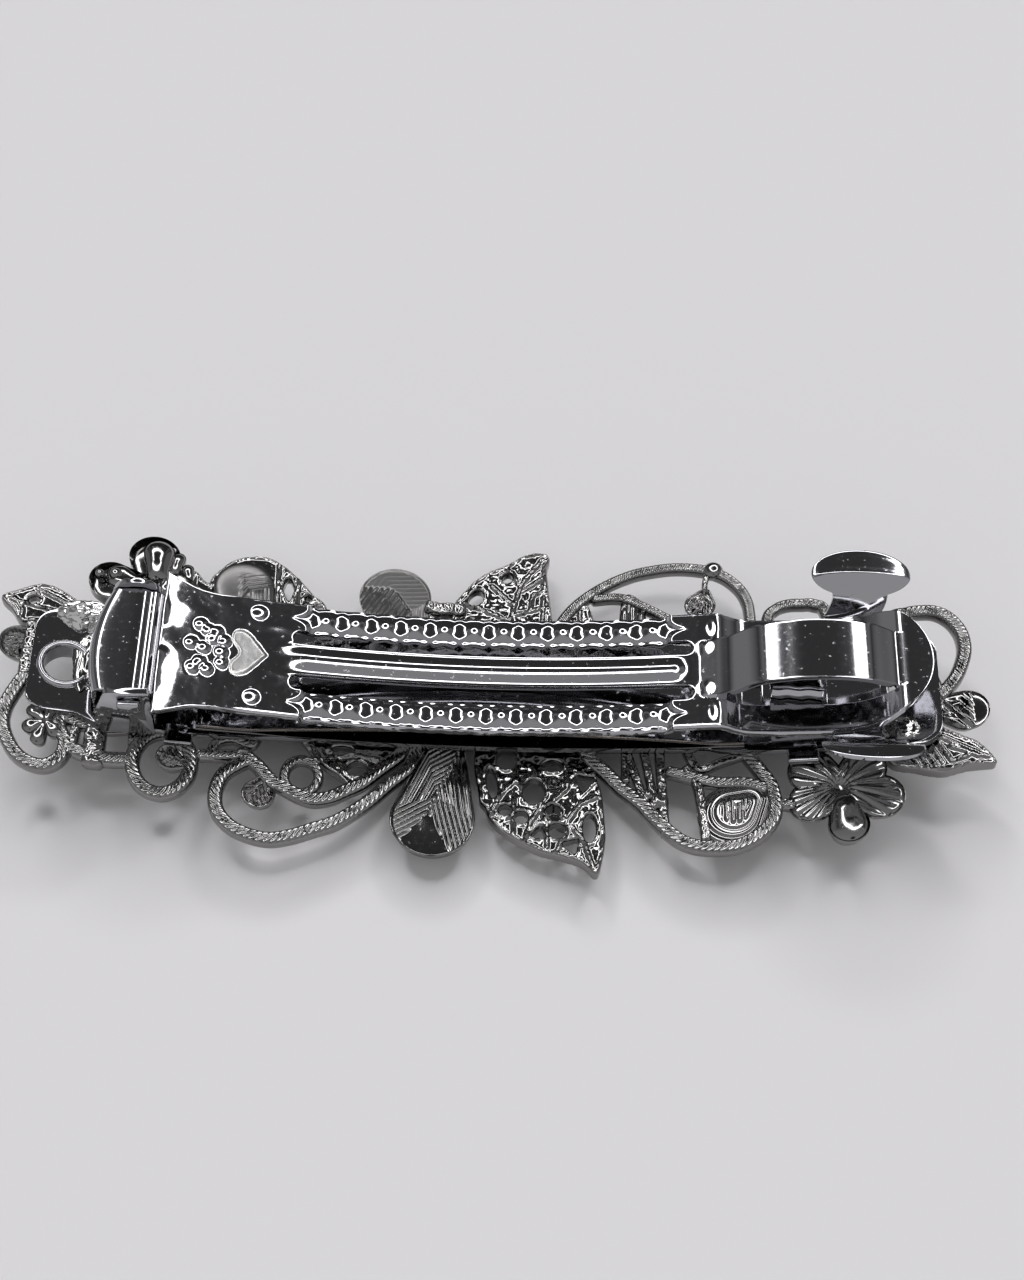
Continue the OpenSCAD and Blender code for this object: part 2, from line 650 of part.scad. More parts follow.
// Scrolls of the latch half
module right_scrolls() {
    rope([[5.6, 3.6], [5.6, 6.8], [6.1, 8.2], [7.1, 9.6], [8.5, 10.9], [10, 11.9], [11.7, 12.7], [13.3, 13.1],
          [14.9, 13.3], [16.5, 13.2], [17.8, 12.9], [19, 12.3], [20, 11.3], [20.6, 10.2], [20.9, 8.9],
          [21, 6], [21, 3.6]], 0.95);
    translate([18.1, 13]) circle(r = 0.85, $fn = 10);
    rope([[18, 13], [17.5, 12], [17.4, 10.4]], 0.5, 1);
    rope([[8.2, 10.2], [9.8, 10.4], [10.9, 10.3], [12.3, 9.6], [13.9, 8.6], [14.8, 7.6], [15, 3.6]], 0.8);
    polygon([[6.2, 3.6], [6.2, 8.2], [7.4, 9.8], [8.4, 8.8], [8.8, 3.6]]);
    polygon([[10.8, 10.4], [12.6, 9.4], [12.4, 3.6], [10.6, 3.6]]);
    rope([[16.9, 9], [16.9, 3.6]], 1, 1);
    rope([[22.4, 3.6], [22.3, 7.8], [23, 8.9], [24, 9.3], [25.1, 9.3], [26, 9.2], [26.9, 8.3], [27.2, 3.6]], 0.95);
    rope([[7.6, -3.6], [8.3, -4.9], [9.5, -6.2], [10.7, -7.6], [12.1, -8.9], [12.8, -9.8], [13.9, -11.1],
          [14.8, -12], [15.8, -12.6], [17.1, -12.9], [18.8, -12.9], [19.9, -12.6], [20.9, -12], [21.7, -11.2],
          [22.2, -10.3], [22.3, -9], [22, -7.5], [21.4, -6.4], [20.7, -5.3], [19.6, -3.6]]);
    rope([[10.9, -3.6], [12.6, -9.2]], fine, 1);
    rope([[12.3, -3.6], [13.2, -8.8]], fine, 1);
    rope([[13.9, -3.6], [15.2, -12]], fine, 1);
    rope([[15, -5.6], [16, -7.4], [17.4, -12.6]], 0.8, 1);
    rope([[11, -4], [11, -7.4]], fine, 1);
    rope([[14, -6], [16.2, -6.7], [18, -7.2], [20.2, -7.3], [22, -8]], 1);
    rope([[12.8, -8.8], [14.4, -8.9]], 1.3, 1);
    rope([[15.4, -3.5], [16.6, -5.9], [18.4, -5.3], [20.4, -4.6]], fine, 1);
    rope([[21.8, -9.3], [22.8, -9.2], [24, -9.5]], 0.9, 1);
    rope([[31.6, 3.6], [32, 7.2], [33.1, 7.7], [34.2, 7.8], [35.4, 7.6], [36.4, 6.8], [37.1, 5.5], [37.3, 4.1],
          [37.1, 2.9], [36.5, 1.4], [35.7, 0.3], [34.9, -0.6]]);
    rope([[33.4, 3.8], [34.8, 0.6], [34.4, -1.8], [33, -3.6]], 1.2, 1);
}

// The whole plan: spine, scrolls and leaves
module plan() {
    spine();
    left_scrolls();
    right_scrolls();
    pierced(left_leaf, left_leaf_holes);
    difference() {
        pierced(shell, shell_holes);
        polygon([[-19.5, 11.9], [-18.4, 11.9], [-17.2, 11.4], [-17.2, 10.2], [-18, 11.1]]);
    }
    pierced(far_leaf, far_leaf_holes);
    pierced(near_leaf, near_leaf_holes);
    pierced(right_leaf, right_leaf_holes);
    polygon(wavy_leaf);
    translate([-28.5, 3.4]) square([3, 3.2]);
    translate([25.9, -6.4]) square([3, 3]);
}

module filigree() {
    color(dark_cast)
        translate(origin_shift) {
            intersection() {
                linear_extrude(through) plan();
                bowed_slab();
            }
            cup([-36.2, 1.9], 1.6, [-35, 2.2], 1);
            cup([-23.7, -6.8], 1.2, [-22.8, -7], 0.8);
            cup([-16.9, -9.4], 1.3, [-16.2, -8], 0.6);
            cup([17, 9.4], 1.25, [17.4, 10.6], 0.5);
            cup([19.2, -10.3], 1.95, [20.6, -8.6], 0.8);
            cup([37.05, -1.8], 1.7, [35.2, -1.4], 1);
            flower([-33.2, -5], [[-34.3, -4.1, 0.6], [-34.4, -5.5, 0.6], [-33.7, -6.6, 0.6], [-32.6, -5.6, 0.6],
                                 [-33, -3.8, 0.6]]);
            flower([-27.2, 8.8], [[-29.7, 8.8, 1.8], [-27.1, 11.5, 2.05], [-24.8, 8.8, 1.6], [-28.6, 6.3, 1.6],
                                  [-25.8, 6.2, 1.6]]);
            flower([27.5, -8.45], [[24.7, -9.5, 1.3], [27.7, -11.5, 1.5], [30.4, -9.3, 1.45], [25.2, -6.6, 1.6],
                                   [29.2, -6.8, 1.4]]);
            standing_cup([-3.65, -10.75], 3.3, [-2.9, -4.7], 1.6, 2);
            standing_cup([-7.5, 9.75], 2.95, [-5.8, 4.4], 1.4, 1.8);
            standing_bead([6.5, -9], 0.9);
            standing_bead([3, 10.6], 0.9);
        }
}

filigree();
base_plate();
bow_spring();
latch_spring();
arm();
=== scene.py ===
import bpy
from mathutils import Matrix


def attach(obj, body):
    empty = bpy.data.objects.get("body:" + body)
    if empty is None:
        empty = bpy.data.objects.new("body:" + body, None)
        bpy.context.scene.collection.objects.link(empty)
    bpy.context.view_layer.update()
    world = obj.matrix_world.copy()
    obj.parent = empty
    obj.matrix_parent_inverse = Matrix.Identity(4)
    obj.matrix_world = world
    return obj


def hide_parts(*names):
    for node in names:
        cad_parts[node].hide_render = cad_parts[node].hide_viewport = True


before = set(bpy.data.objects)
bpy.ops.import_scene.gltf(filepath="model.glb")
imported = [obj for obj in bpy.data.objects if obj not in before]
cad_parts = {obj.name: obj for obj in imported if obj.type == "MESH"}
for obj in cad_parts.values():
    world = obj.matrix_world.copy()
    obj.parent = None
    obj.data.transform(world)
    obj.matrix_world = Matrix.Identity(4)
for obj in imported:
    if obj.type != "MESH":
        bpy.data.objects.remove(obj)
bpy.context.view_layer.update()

import math
import bpy
from mathutils import Matrix, Vector, noise

# %% [markdown]
# # A gunmetal hair barrette, face down
# The clip lies on its front, so the camera sees its clasp and the back of its cast plaque. The clasp is
# pressed sheet metal and the plaque is a casting. The clasp's sheets are made here in the same three moves: a
# grid whose points are moved to a drawing, a Solidify modifier for the gauge, and a small bevel for the
# sheared edges.
# Shapes are drawn in millimetres from the clasp's middle. `settle` carries them into the shared frame.

# %% Selecting, joining and finishing
# From the drawing's middle to the shared frame's origin, in millimetres
SHIFT = Vector((-0.345, 0.15, 0))
MM = 0.001


def deselect():
    if bpy.context.object and bpy.context.object.mode != "OBJECT":
        bpy.ops.object.mode_set(mode="OBJECT")
    bpy.ops.object.select_all(action="DESELECT")


def only(obj):
    deselect()
    obj.select_set(True)
    bpy.context.view_layer.objects.active = obj
    return obj


def in_edit(obj, *operators):
    """Runs operators on the whole of one mesh in edit mode."""
    only(obj)
    bpy.ops.object.mode_set(mode="EDIT")
    for operator in operators:
        bpy.ops.mesh.select_all(action="SELECT")
        operator()
    bpy.ops.object.mode_set(mode="OBJECT")
    return obj


def closed_up(obj, gap=0.0005):
    """Merges seams and poles and turns the faces outwards."""
    return in_edit(obj, lambda: bpy.ops.mesh.remove_doubles(threshold=gap),
                   lambda: bpy.ops.mesh.normals_make_consistent(inside=False))


def apply_all(obj):
    only(obj)
    for m in list(obj.modifiers):
        bpy.ops.object.modifier_apply(modifier=m.name)
    return obj


def join(objs, name):
    deselect()
    for o in objs:
        o.select_set(True)
    bpy.context.view_layer.objects.active = objs[0]
    if len(objs) > 1:
        bpy.ops.object.join()
    made = bpy.context.object
    made.name = name
    made.data.name = name
    return made


def bevel(obj, width, segments=2, angle=40):
    m = obj.modifiers.new("edge", "BEVEL")
    m.width = width
    m.segments = segments
    m.limit_method = "ANGLE"
    m.angle_limit = math.radians(angle)
    return apply_all(obj)


def solidify(obj, thickness):
    m = obj.modifiers.new("sheet", "SOLIDIFY")
    m.thickness = thickness
    m.offset = -1
    return apply_all(obj)


def settle(obj, body, finish, angle=35):
    """Carries a piece from the drawing into the shared frame, smooths it and lets it ride."""
    only(obj)
    obj.location = obj.location + SHIFT
    bpy.ops.object.transform_apply(location=True, rotation=True, scale=True)
    obj.scale = (MM, MM, MM)
    bpy.ops.object.transform_apply(location=True, rotation=True, scale=True)
    bpy.ops.object.shade_smooth_by_angle(angle=math.radians(angle))
    obj.data.materials.clear()
    obj.data.materials.append(finish)
    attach(obj, body)
    print(obj.name, len(obj.data.polygons), "faces")
    return obj


# %% A grid moved to a drawing
def mapped_grid(name, columns, rows, place, keep=None):
    """A grid primitive moved to its places. Cells that keep refuses are deleted."""
    bpy.ops.mesh.primitive_grid_add(x_subdivisions=len(columns) - 1, y_subdivisions=len(rows) - 1, size=2)
    obj = bpy.context.object
    obj.name = name
    nx, ny = len(columns) - 1, len(rows) - 1
    index = {}
    for v in obj.data.vertices:
        i, j = round((v.co.x + 1) / 2 * nx), round((v.co.y + 1) / 2 * ny)
        index[v.index] = (i, j)
        v.co = place(columns[i], rows[j])
    if keep:
        only(obj)
        bpy.ops.object.mode_set(mode="EDIT")
        bpy.ops.mesh.select_all(action="DESELECT")
        bpy.ops.object.mode_set(mode="OBJECT")
        for p in obj.data.polygons:
            ij = [index[v] for v in p.vertices]
            i, j = min(a for a, b in ij), min(b for a, b in ij)
            mid = ((columns[i] + columns[i + 1]) / 2, (rows[j] + rows[j + 1]) / 2)
            p.select = not keep(*mid)
        bpy.ops.object.mode_set(mode="EDIT")
        bpy.ops.mesh.select_mode(type="FACE")
        bpy.ops.mesh.delete(type="FACE")
        bpy.ops.object.mode_set(mode="OBJECT")
    return obj


def steps(a, b, n):
    """n equal steps from a to b, without b itself."""
    return [a + (b - a) * k / n for k in range(n)]


# %% Rises and smooth lines
def ease(t):
    """A soft step: 0 up to t = 0, 1 from t = 1."""
    t = min(max(t, 0), 1)
    return t * t * (3 - 2 * t)


def hill(d, r):
    """A round rise: 1 at the middle, 0 from r outwards."""
    return max(0, 1 - (d / r) ** 2) ** 2 if d < r else 0


def cap(d, r):
    """A dome with a sharp foot."""
    return max(0, 1 - (d / r) ** 2)


def profile(points, x):
    """A smooth line through points of a side view."""
    if x <= points[0][0]:
        return points[0][1]
    for k in range(len(points) - 1):
        (x0, z0), (x1, z1) = points[k], points[k + 1]
        if x <= x1:
            a, b = points[max(k - 1, 0)], points[min(k + 2, len(points) - 1)]
            m0 = (z1 - a[1]) / (x1 - a[0])
            m1 = (b[1] - z0) / (b[0] - x0)
            h = x1 - x0
            t = (x - x0) / h
            return ((2 * t**3 - 3 * t**2 + 1) * z0 + (t**3 - 2 * t**2 + t) * h * m0
                    + (3 * t**2 - 2 * t**3) * z1 + (t**3 - t**2) * h * m1)
    return points[-1][1]


# %% The clip's bow
# Heights over the table in millimetres: the plaque's back, the base plate's back and the arm
def back_z(x):
    return 3.1 + x * x / 360


def base_z(x):
    return 3.75 + x * x / 360


def arm_z(x):
    return 7.25 + x * x / 214


print("middle heights", back_z(0), base_z(0), arm_z(0), "end heights", back_z(35), base_z(35))

# %% [markdown]
# ## Camera
# The picture was taken from about 55 degrees above, close enough that the far side is a little smaller.
# The camera's place was found by fitting the clasp's straight edges and its 70 mm length. A longer lens
# from further away would hide the slight narrowing that the real picture shows.

# %% Camera
CAMERA_AT = Vector((2.0, -105.6, 162.45))
bpy.ops.object.camera_add(location=(CAMERA_AT + SHIFT) * MM)
camera = bpy.context.object
camera.name = "camera"
tilt = Matrix.Rotation(math.radians(35), 4, "X") @ Matrix.Rotation(math.radians(1.7), 4, "Z")
camera.rotation_euler = tilt.to_euler()
camera.data.sensor_width = 36
camera.data.lens = 68.625
camera.data.clip_start = 0.01
camera.data.clip_end = 10
bpy.context.scene.camera = camera
print("camera at", [round(v, 4) for v in camera.location], "lens", camera.data.lens)

# %% [markdown]
# ## Table and light
# The clip lies on plain pale paper in a small light tent. Round domes in the plating mirror a bright ring
# with a dark middle, so the light is a ring nearly overhead. The tent is pale behind the camera and dark
# beyond the clip, which gives the flat metal its black and the bends their grey bands. Lamps could do the
# same, but polished metal shows its whole surroundings, so the tent is painted as a world instead.

# %% Table
bpy.ops.mesh.primitive_plane_add(size=3, location=(0, 0, 0))
table = bpy.context.object
table.name = "table"
paper = bpy.data.materials.new("paper")
paper.use_nodes = True
paper_bsdf = paper.node_tree.nodes["Principled BSDF"]
paper_bsdf.inputs["Base Color"].default_value = (0.80, 0.785, 0.79, 1)
paper_bsdf.inputs["Roughness"].default_value = 0.9
paper_bsdf.inputs["Specular IOR Level"].default_value = 0.2
table.data.materials.append(paper)
print("table", tuple(table.dimensions))

# %% Light tent
world = bpy.data.worlds.new("light_tent")
bpy.context.scene.world = world
world.use_nodes = True
tent = world.node_tree
tent.nodes.clear()


def add(tree, kind, **values):
    n = tree.nodes.new(kind)
    for key, value in values.items():
        setattr(n, key, value)
    return n


def ramp(tree, source, stops):
    """A grey ramp through (place, value) stops."""
    n = tree.nodes.new("ShaderNodeValToRGB")
    while len(n.color_ramp.elements) < len(stops):
        n.color_ramp.elements.new(0.5)
    for e, (place, value) in zip(n.color_ramp.elements, stops):
        e.position = place
        e.color = (value, value, value, 1)
    tree.links.new(source, n.inputs["Fac"])
    return n.outputs["Color"]


def math_node(tree, kind, *values):
    n = add(tree, "ShaderNodeMath", operation=kind)
    for socket, value in zip(n.inputs, values):
        if isinstance(value, (int, float)):
            socket.default_value = value
        else:
            tree.links.new(value, socket)
    return n.outputs[0]


# %% Ring light and walls
RING_HEIGHT = math.radians(60)
RING_POWER = 7.4
# (cosine of the angle from the ring's middle, strength): a ring from 19 to 26 degrees, with a glow inside it
RING = [(0.89, 0), (0.905, 1), (0.94, 1), (0.947, 0.035), (0.955, 0.014), (0.966, 0.005), (0.985, 0.0012)]
# Strengths of the tent's walls from front to back, and from the middle out to the sides
FRONT_TO_BACK = [(0.2, 0.55), (0.5, 0.42), (0.6, 0.05)]
MIDDLE_TO_SIDE = [(0.42, 0), (0.5, 0.25), (0.6, 0.06), (0.75, 0.3)]
# The camera stands before the tent's wall, and leaves a dark spot in it
CAMERA_WAY, CAMERA_SHADOW = (0.01, -0.545, 0.838), [(0.983, 1), (0.992, 0.06)]
way = add(tent, "ShaderNodeTexCoord").outputs["Generated"]
axes = add(tent, "ShaderNodeSeparateXYZ")
tent.links.new(way, axes.inputs[0])


def facing(direction):
    """How closely a ray of light runs along a direction, from -1 to 1."""
    n = add(tent, "ShaderNodeVectorMath", operation="DOT_PRODUCT")
    tent.links.new(way, n.inputs[0])
    n.inputs[1].default_value = direction
    return n.outputs["Value"]


ring_light = ramp(tent, facing((0.0, math.cos(RING_HEIGHT), math.sin(RING_HEIGHT))), RING)
room = ramp(tent, math_node(tent, "MULTIPLY_ADD", axes.outputs["Y"], 0.5, 0.5), FRONT_TO_BACK)
side = ramp(tent, math_node(tent, "ABSOLUTE", axes.outputs["X"]), MIDDLE_TO_SIDE)
free = ramp(tent, facing(CAMERA_WAY), CAMERA_SHADOW)
walls = math_node(tent, "MULTIPLY", math_node(tent, "MAXIMUM", room, side), free)
total = math_node(tent, "ADD", math_node(tent, "MULTIPLY", ring_light, RING_POWER), walls)
background = add(tent, "ShaderNodeBackground")
background.inputs["Color"].default_value = (0.98, 0.98, 1.0, 1)
tent.links.new(total, background.inputs["Strength"])
tent.links.new(background.outputs[0], add(tent, "ShaderNodeOutputWorld").inputs[0])
bpy.context.scene.view_settings.view_transform = "Standard"
print("light tent of", len(tent.nodes), "nodes")

# %% [markdown]
# ## Finishes
# The whole clip has one dark mirror plating, but it looks different wherever the metal under it differs:
# bright on rolled sheet, darker and rougher on the casting, brownish where edges are worn, pale on solder.
# An image texture could hold the dust and scratches. Two noises do it here, so they stay sharp close up.


# %% Plating
def speckle(tree, place, scale, detail):
    n = add(tree, "ShaderNodeTexNoise")
    n.inputs["Scale"].default_value = scale
    n.inputs["Detail"].default_value = detail
    tree.links.new(place, n.inputs["Vector"])
    return n.outputs["Fac"]


def plating(name, base, roughness, scratch, dusty=0.3):
    """Mirror gunmetal plating with faint dust and fine scratches."""
    mat = bpy.data.materials.new(name)
    mat.use_nodes = True
    tree = mat.node_tree
    bsdf = tree.nodes["Principled BSDF"]
    bsdf.inputs["Metallic"].default_value = 1
    bsdf.inputs["Base Color"].default_value = (*base, 1)
    place = add(tree, "ShaderNodeTexCoord").outputs["Object"]
    dust = [(0.5, roughness), (0.66, roughness + 0.03), (0.74, roughness + dusty)]
    tree.links.new(ramp(tree, speckle(tree, place, 2600, 3), dust), bsdf.inputs["Roughness"])
    bump = add(tree, "ShaderNodeBump")
    bump.inputs["Strength"].default_value = scratch
    bump.inputs["Distance"].default_value = 0.00005
    tree.links.new(speckle(tree, place, 700, 4), bump.inputs["Height"])
    tree.links.new(bump.outputs[0], bsdf.inputs["Normal"])
    return mat


sheet_finish = plating("gunmetal_sheet", (0.42, 0.42, 0.435), 0.07, 0.06)
cast_finish = plating("gunmetal_casting", (0.25, 0.245, 0.24), 0.10, 0.25)
edge_finish = plating("gunmetal_worn", (0.5, 0.46, 0.42), 0.2, 0.3)
satin_finish = plating("gunmetal_satin", (0.17, 0.166, 0.162), 0.3, 0.1, 0.02)
solder_finish = plating("solder", (0.7, 0.69, 0.68), 0.16, 0.6)
frosted_finish = plating("gunmetal_frosted", (0.4, 0.395, 0.385), 0.3, 0.8)
print("finishes", [m.name for m in bpy.data.materials])

# %% [markdown]
# ## The arm
# The real arm is one strip of spring steel: pressed with two rows of domes, a rosette and a heart, pierced
# with two long slots, and formed at the latch end into a ring with a raised bridge. It could be cut out and
# stamped with Booleans, but those leave ragged faces that a mirror finish shows. So a grid is moved to the
# strip's columns and rows, its height follows the pressed pattern, and cells are deleted for the slots.

# %% The arm's drawing
SLOT_Y, SLOT_R, SLOT_X0, SLOT_X1 = 2.05, 0.7, -14.9, 16.0
ARM_HALF, ARM_END, ARM_GAUGE = 5.15, 34.3, 0.5
LIP_X, FLARE_X, RING_X0, RING_X1 = 28.8, -20.5, 18.4, 31.3
# Side views of the ring, as (along, height): the raised bridge, and the rails on both sides of it
BRIDGE = [(16.4, 8.507), (16.6, 8.58), (17.0, 8.73), (17.4, 8.88), (17.9, 9.07), (18.3, 9.25), (18.8, 9.5),
          (19.3, 9.87), (19.8, 10.3), (20.3, 10.65), (20.8, 10.93), (21.3, 11.13), (22.0, 11.33),
          (22.6, 11.48), (24, 11.79), (26, 11.93), (27.4, 11.9), (28.5, 11.77), (29.2, 11.62),
          (30.0, 11.28), (30.6, 11.02), (31.0, 10.84), (31.25, 10.78), (31.45, 10.81), (32.0, 10.96),
          (32.3, 11.0), (32.8, 11.02), (34.3, 11.04)]
RAIL = [(16.4, 8.5), (17.0, 8.58), (17.5, 8.64), (17.9, 8.62), (18.4, 8.45), (19, 8.16), (19.6, 7.94),
        (20.3, 7.85), (24, 8.05), (27, 8.4), (28.6, 8.85), (30, 9.65), (30.9, 10.35), (31.3, 10.72),
        (31.6, 10.86), (32.0, 10.96), (32.3, 11.0), (32.8, 11.02), (34.3, 11.04)]
# Each dome row: domes every PITCH, in a trough from ROW_X0 to ROW_X1
ROW_Y, PITCH, ROW_X0, ROW_X1 = 3.9, 2.29, -13.55, 13.93
# Rosette domes from its middle, in the order that the photo shows them
ROSETTE_X, HEART_X0, HEART_X1 = -21.5, -19.5, -16.6
ROSETTE = [(0, 0), (0.2, 1.65), (0.85, 1.55), (-0.95, 0.3), (-0.4, 2.1), (-0.2, -1.3), (0.4, -1.9),
           (1.5, 0.8), (1.35, -0.2), (1.45, -1.15), (-0.65, -1.9), (0.65, 0.9)]

# %% Rows and columns of the strip
FINE = 0.1
inner_rows = [0.08, 0.16, 0.24, 0.32, 0.42, 0.55, 0.7, 0.9, 1.1, 1.25]
outer_rows = [2.75 + FINE * k for k in range(1, round(2.4 / FINE) + 1)]
half_rows = inner_rows + [1.35 + 0.175 * k for k in range(9)] + outer_rows
arm_rows = [-r for r in reversed(half_rows)] + [0.0] + half_rows
arm_columns = (steps(-24.7, SLOT_X0, round(9.8 / FINE)) + steps(SLOT_X0, SLOT_X1, round(30.9 / FINE))
               + steps(SLOT_X1, RING_X0, 20) + steps(RING_X0, RING_X1, 65) + steps(RING_X1, ARM_END, 20)
               + [ARM_END])
print("the arm's grid", len(arm_columns), "by", len(arm_rows))


# %% Pressed rows of domes, and the heart
def dome_row(x, d):
    """A trough of round domes and saddles, closed at each end. x is along it and d across it."""
    outer = d > 0
    d = abs(d)
    if d >= 1.3:
        return 0
    over = max(ROW_X0 - x, x - ROW_X1, 0)
    wave = -math.cos(2 * math.pi * (x - ROW_X0) / PITCH) if over == 0 else -1
    z = -0.11 + 0.125 * wave + 0.015 * (2 * wave * wave - 1)
    z += 0.089 * (1 + wave) * (math.cos(math.pi * min(d, 1.25) / 1.25) - 1)
    z -= 0.09 * (1 - wave) * ease((d - 0.6 + min(0.2, 0.4 * (1 + wave))) / 0.65)
    side = 0.35 + 1.6 * max(0, 1 - d / 1.2) ** 3
    return z * (1 - ease(over / side)) * (1 if outer else 1 - ease((d - 1.18) / 0.12))


def heart_half(x):
    """Half height of the heart: two lobes at the left, hollow sides and a point at the right."""
    return profile([(HEART_X0, 1.4), (-19.3, 1.95), (-18.8, 2.15), (-18.2, 1.9), (-17.6, 1.25), (-17.1, 0.6),
                    (HEART_X1, 0)], x)


def in_heart(x, y):
    return HEART_X0 + 0.6 * hill(y, 1.1) < x < HEART_X1 and abs(y) < heart_half(x)


# %% The whole pressed pattern
def relief(x, y):
    """Height of the pressed pattern over the plain bowed strip."""
    s = abs(y)
    z = 0.0
    if x < 17 and s < 1.5:
        # The web between the slots is roofed, with a narrow round crest and flat rims
        crest = 0.58 - math.sqrt(0.0256 + (0.4 * min(s, 1.15)) ** 2)
        z += crest * ease((x + 16.6) / 3) * ease((15.8 - x) / 1.4) * ease((1.7 - s) / 0.35)
    z += dome_row(x, s - ROW_Y)
    z += 0.04 * ease((s - 5.0) / 0.12) * ease((x + 20.5) / 3)
    z += 0.16 * cap(math.hypot(x + 17.6, s - ROW_Y), 0.72)
    z -= 0.12 * hill(math.hypot((x - 17.35) / 0.5, s - ROW_Y), 1.05)
    z += 0.07 * hill(math.hypot((x + 16.1) / 1.7, s - SLOT_Y), 0.9)
    z += 0.08 * hill(math.hypot(x - 16.75, s - SLOT_Y + 0.15), 0.85)
    # The flare turns up towards the hinge
    rise = max(0, -20.9 - x)
    cup = (0.2 + 0.8 * ease((abs(y - 0.5) - 0.6) / 1.1)) * (1 - 0.45 * ease((s - 2.6) / 2.4))
    z += (0.032 * max(0, rise - 1.3) ** 2 + 0.12 * max(0, rise - 3.2) ** 2) * cup
    if x < -15:
        z += (0.03 + 0.02 * ease(rise)) * noise.noise(Vector((x * 0.6, y * 0.6, 3)))
        z += 0.006 * noise.noise(Vector((x * 2, y * 2, 5)))
    if x < -18.8:
        z += 0.2 * max(cap(math.hypot(x - ROSETTE_X - cx, y - cy), 0.62) for cx, cy in ROSETTE)
    if in_heart(x, y):
        inside = min(heart_half(x) - s, x - HEART_X0 - 0.6 * hill(s, 1.1), HEART_X1 - x)
        z += 0.12 * ease(inside / 0.3)
    return z


# %% The strip's outline and bends
def arm_place(x, r):
    s, sign = abs(r), -1 if r < 0 else 1
    # The two slits of the ring lie where the slots' middle rows are
    t = ease((x - 16.2) / 2)
    wide = s + t * (0.22 * s / 2.4 if s <= 2.4 else -0.03 if s <= 2.76 else -0.03 * (5.15 - s) / 2.4)
    if 2.4 < s < 2.75 and x > 17:
        wide = 2.62 + (s - 2.4) / 0.35 * 0.1
    y = sign * wide
    if x < FLARE_X:
        flare = profile([(-24.7, 6.5), (-23.3, 5.85), (-22, 5.35), (FLARE_X, ARM_HALF)], x)
        y *= flare / ARM_HALF
    if x > LIP_X:
        u, v = (x - LIP_X) / (ARM_END - LIP_X), y / ARM_HALF
        x = LIP_X + ARM_HALF * u * math.sqrt(1 - v * v / 2)
        y = ARM_HALF * v * math.sqrt(1 - u * u / 2)
    z = arm_z(x) if x < BRIDGE[0][0] else profile(BRIDGE if s < 2.5 else RAIL, x)
    return Vector((x, y, z + relief(x, y)))


def in_sheet(x, r):
    s = abs(r)
    if SLOT_Y - SLOT_R < s < SLOT_Y + SLOT_R and SLOT_X0 < x < SLOT_X1:
        return False
    return not (2.4 < s < 2.75 and RING_X0 < x < RING_X1)


# %% The strip itself
arm = mapped_grid("arm", arm_columns, arm_rows, arm_place, in_sheet)
# The slots' square ends are drawn in to half circles
for v in arm.data.vertices:
    for end, sign in ((SLOT_X0 + SLOT_R, -1), (SLOT_X1 - SLOT_R, 1)):
        dx, dy = v.co.x - end, abs(v.co.y) - SLOT_Y
        reach = max(abs(dx), abs(dy))
        if dx * sign > 0.01 and SLOT_R - 0.02 < reach < 1.3:
            t = (reach - SLOT_R) / (1.3 - SLOT_R)
            d = math.hypot(dx, dy)
            k = reach / d * (1 - t) + t
            side = 1 if v.co.y > 0 else -1
            v.co.x = end + dx * k
            v.co.y = side * (SLOT_Y + dy * k)
            v.co.z = arm_z(v.co.x) + relief(v.co.x, v.co.y)
solidify(arm, ARM_GAUGE)
bevel(arm, 0.09, 2, 50)
print("strip", tuple(round(d, 2) for d in arm.dimensions), "mm")

# %% [markdown]
# ## The rolled hinge end
# The real strip's end is bent down over the hinge, and two lugs at its sides turn in the ears. A short grid
# follows the bend's side view. A bent copy of the strip would carry the wrong pattern round the corner.

# %% Rolled hinge end and its lugs
PIN_X, PIN_Z = -26.6, 9.4
# The roll's side view, from its lower edge round to the strip
ROLL = [(-29.2, 7.6), (-29.3, 8.4), (-29.3, 9.0), (-29.25, 9.55), (-29.15, 9.95), (-28.95, 10.18),
        (-28.72, 10.31), (-28.5, 10.35), (-28.0, 10.37), (-27.5, 10.39), (-27.0, 10.4), (-26.5, 10.4),
        (-26.3, 10.37), (-26.1, 10.28), (-25.95, 10.17), (-25.7, 10.1), (-25.5, 10.07), (-25.35, 9.99),
        (-25.2, 9.84), (-25.05, 9.78), (-24.9, 9.92), (-24.75, 10.2)]
roll_rows = [-4.65, -4.6, -4.5] + steps(-4.4, 4.4, 20) + [4.4, 4.5, 4.6, 4.65]


def roll_place(p, y):
    """The roll is barrel-shaped: its hinge side bulges at the middle."""
    bulge = 0.85 * (1 - ((y + 0.6) / 4.6) ** 2) * ease((-27.4 - p[0]) / 1.6)
    return Vector((p[0] - bulge, y, p[1]))


roll = mapped_grid("rolled_end", ROLL, roll_rows, roll_place)
solidify(roll, ARM_GAUGE)
bevel(roll, 0.1, 2, 50)
lugs = []
for side in (-1, 1):
    bpy.ops.mesh.primitive_cylinder_add(vertices=32, radius=0.5, depth=1.2, rotation=(math.radians(90), 0, 0),
                                        location=(PIN_X, side * 4.8, PIN_Z))
    lugs.append(only(bpy.context.object))
    bpy.ops.mesh.primitive_cube_add(size=1, location=(PIN_X, side * 5.53, PIN_Z), scale=(1.7, 0.45, 1.0))
    head = only(bpy.context.object)
    bpy.ops.object.transform_apply(location=False, rotation=False, scale=True)
    bevel(head, 0.14, 3)
    lugs.append(head)
arm = join([arm, roll] + lugs, "locking_arm")
settle(arm, "arm", sheet_finish)
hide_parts("arm")
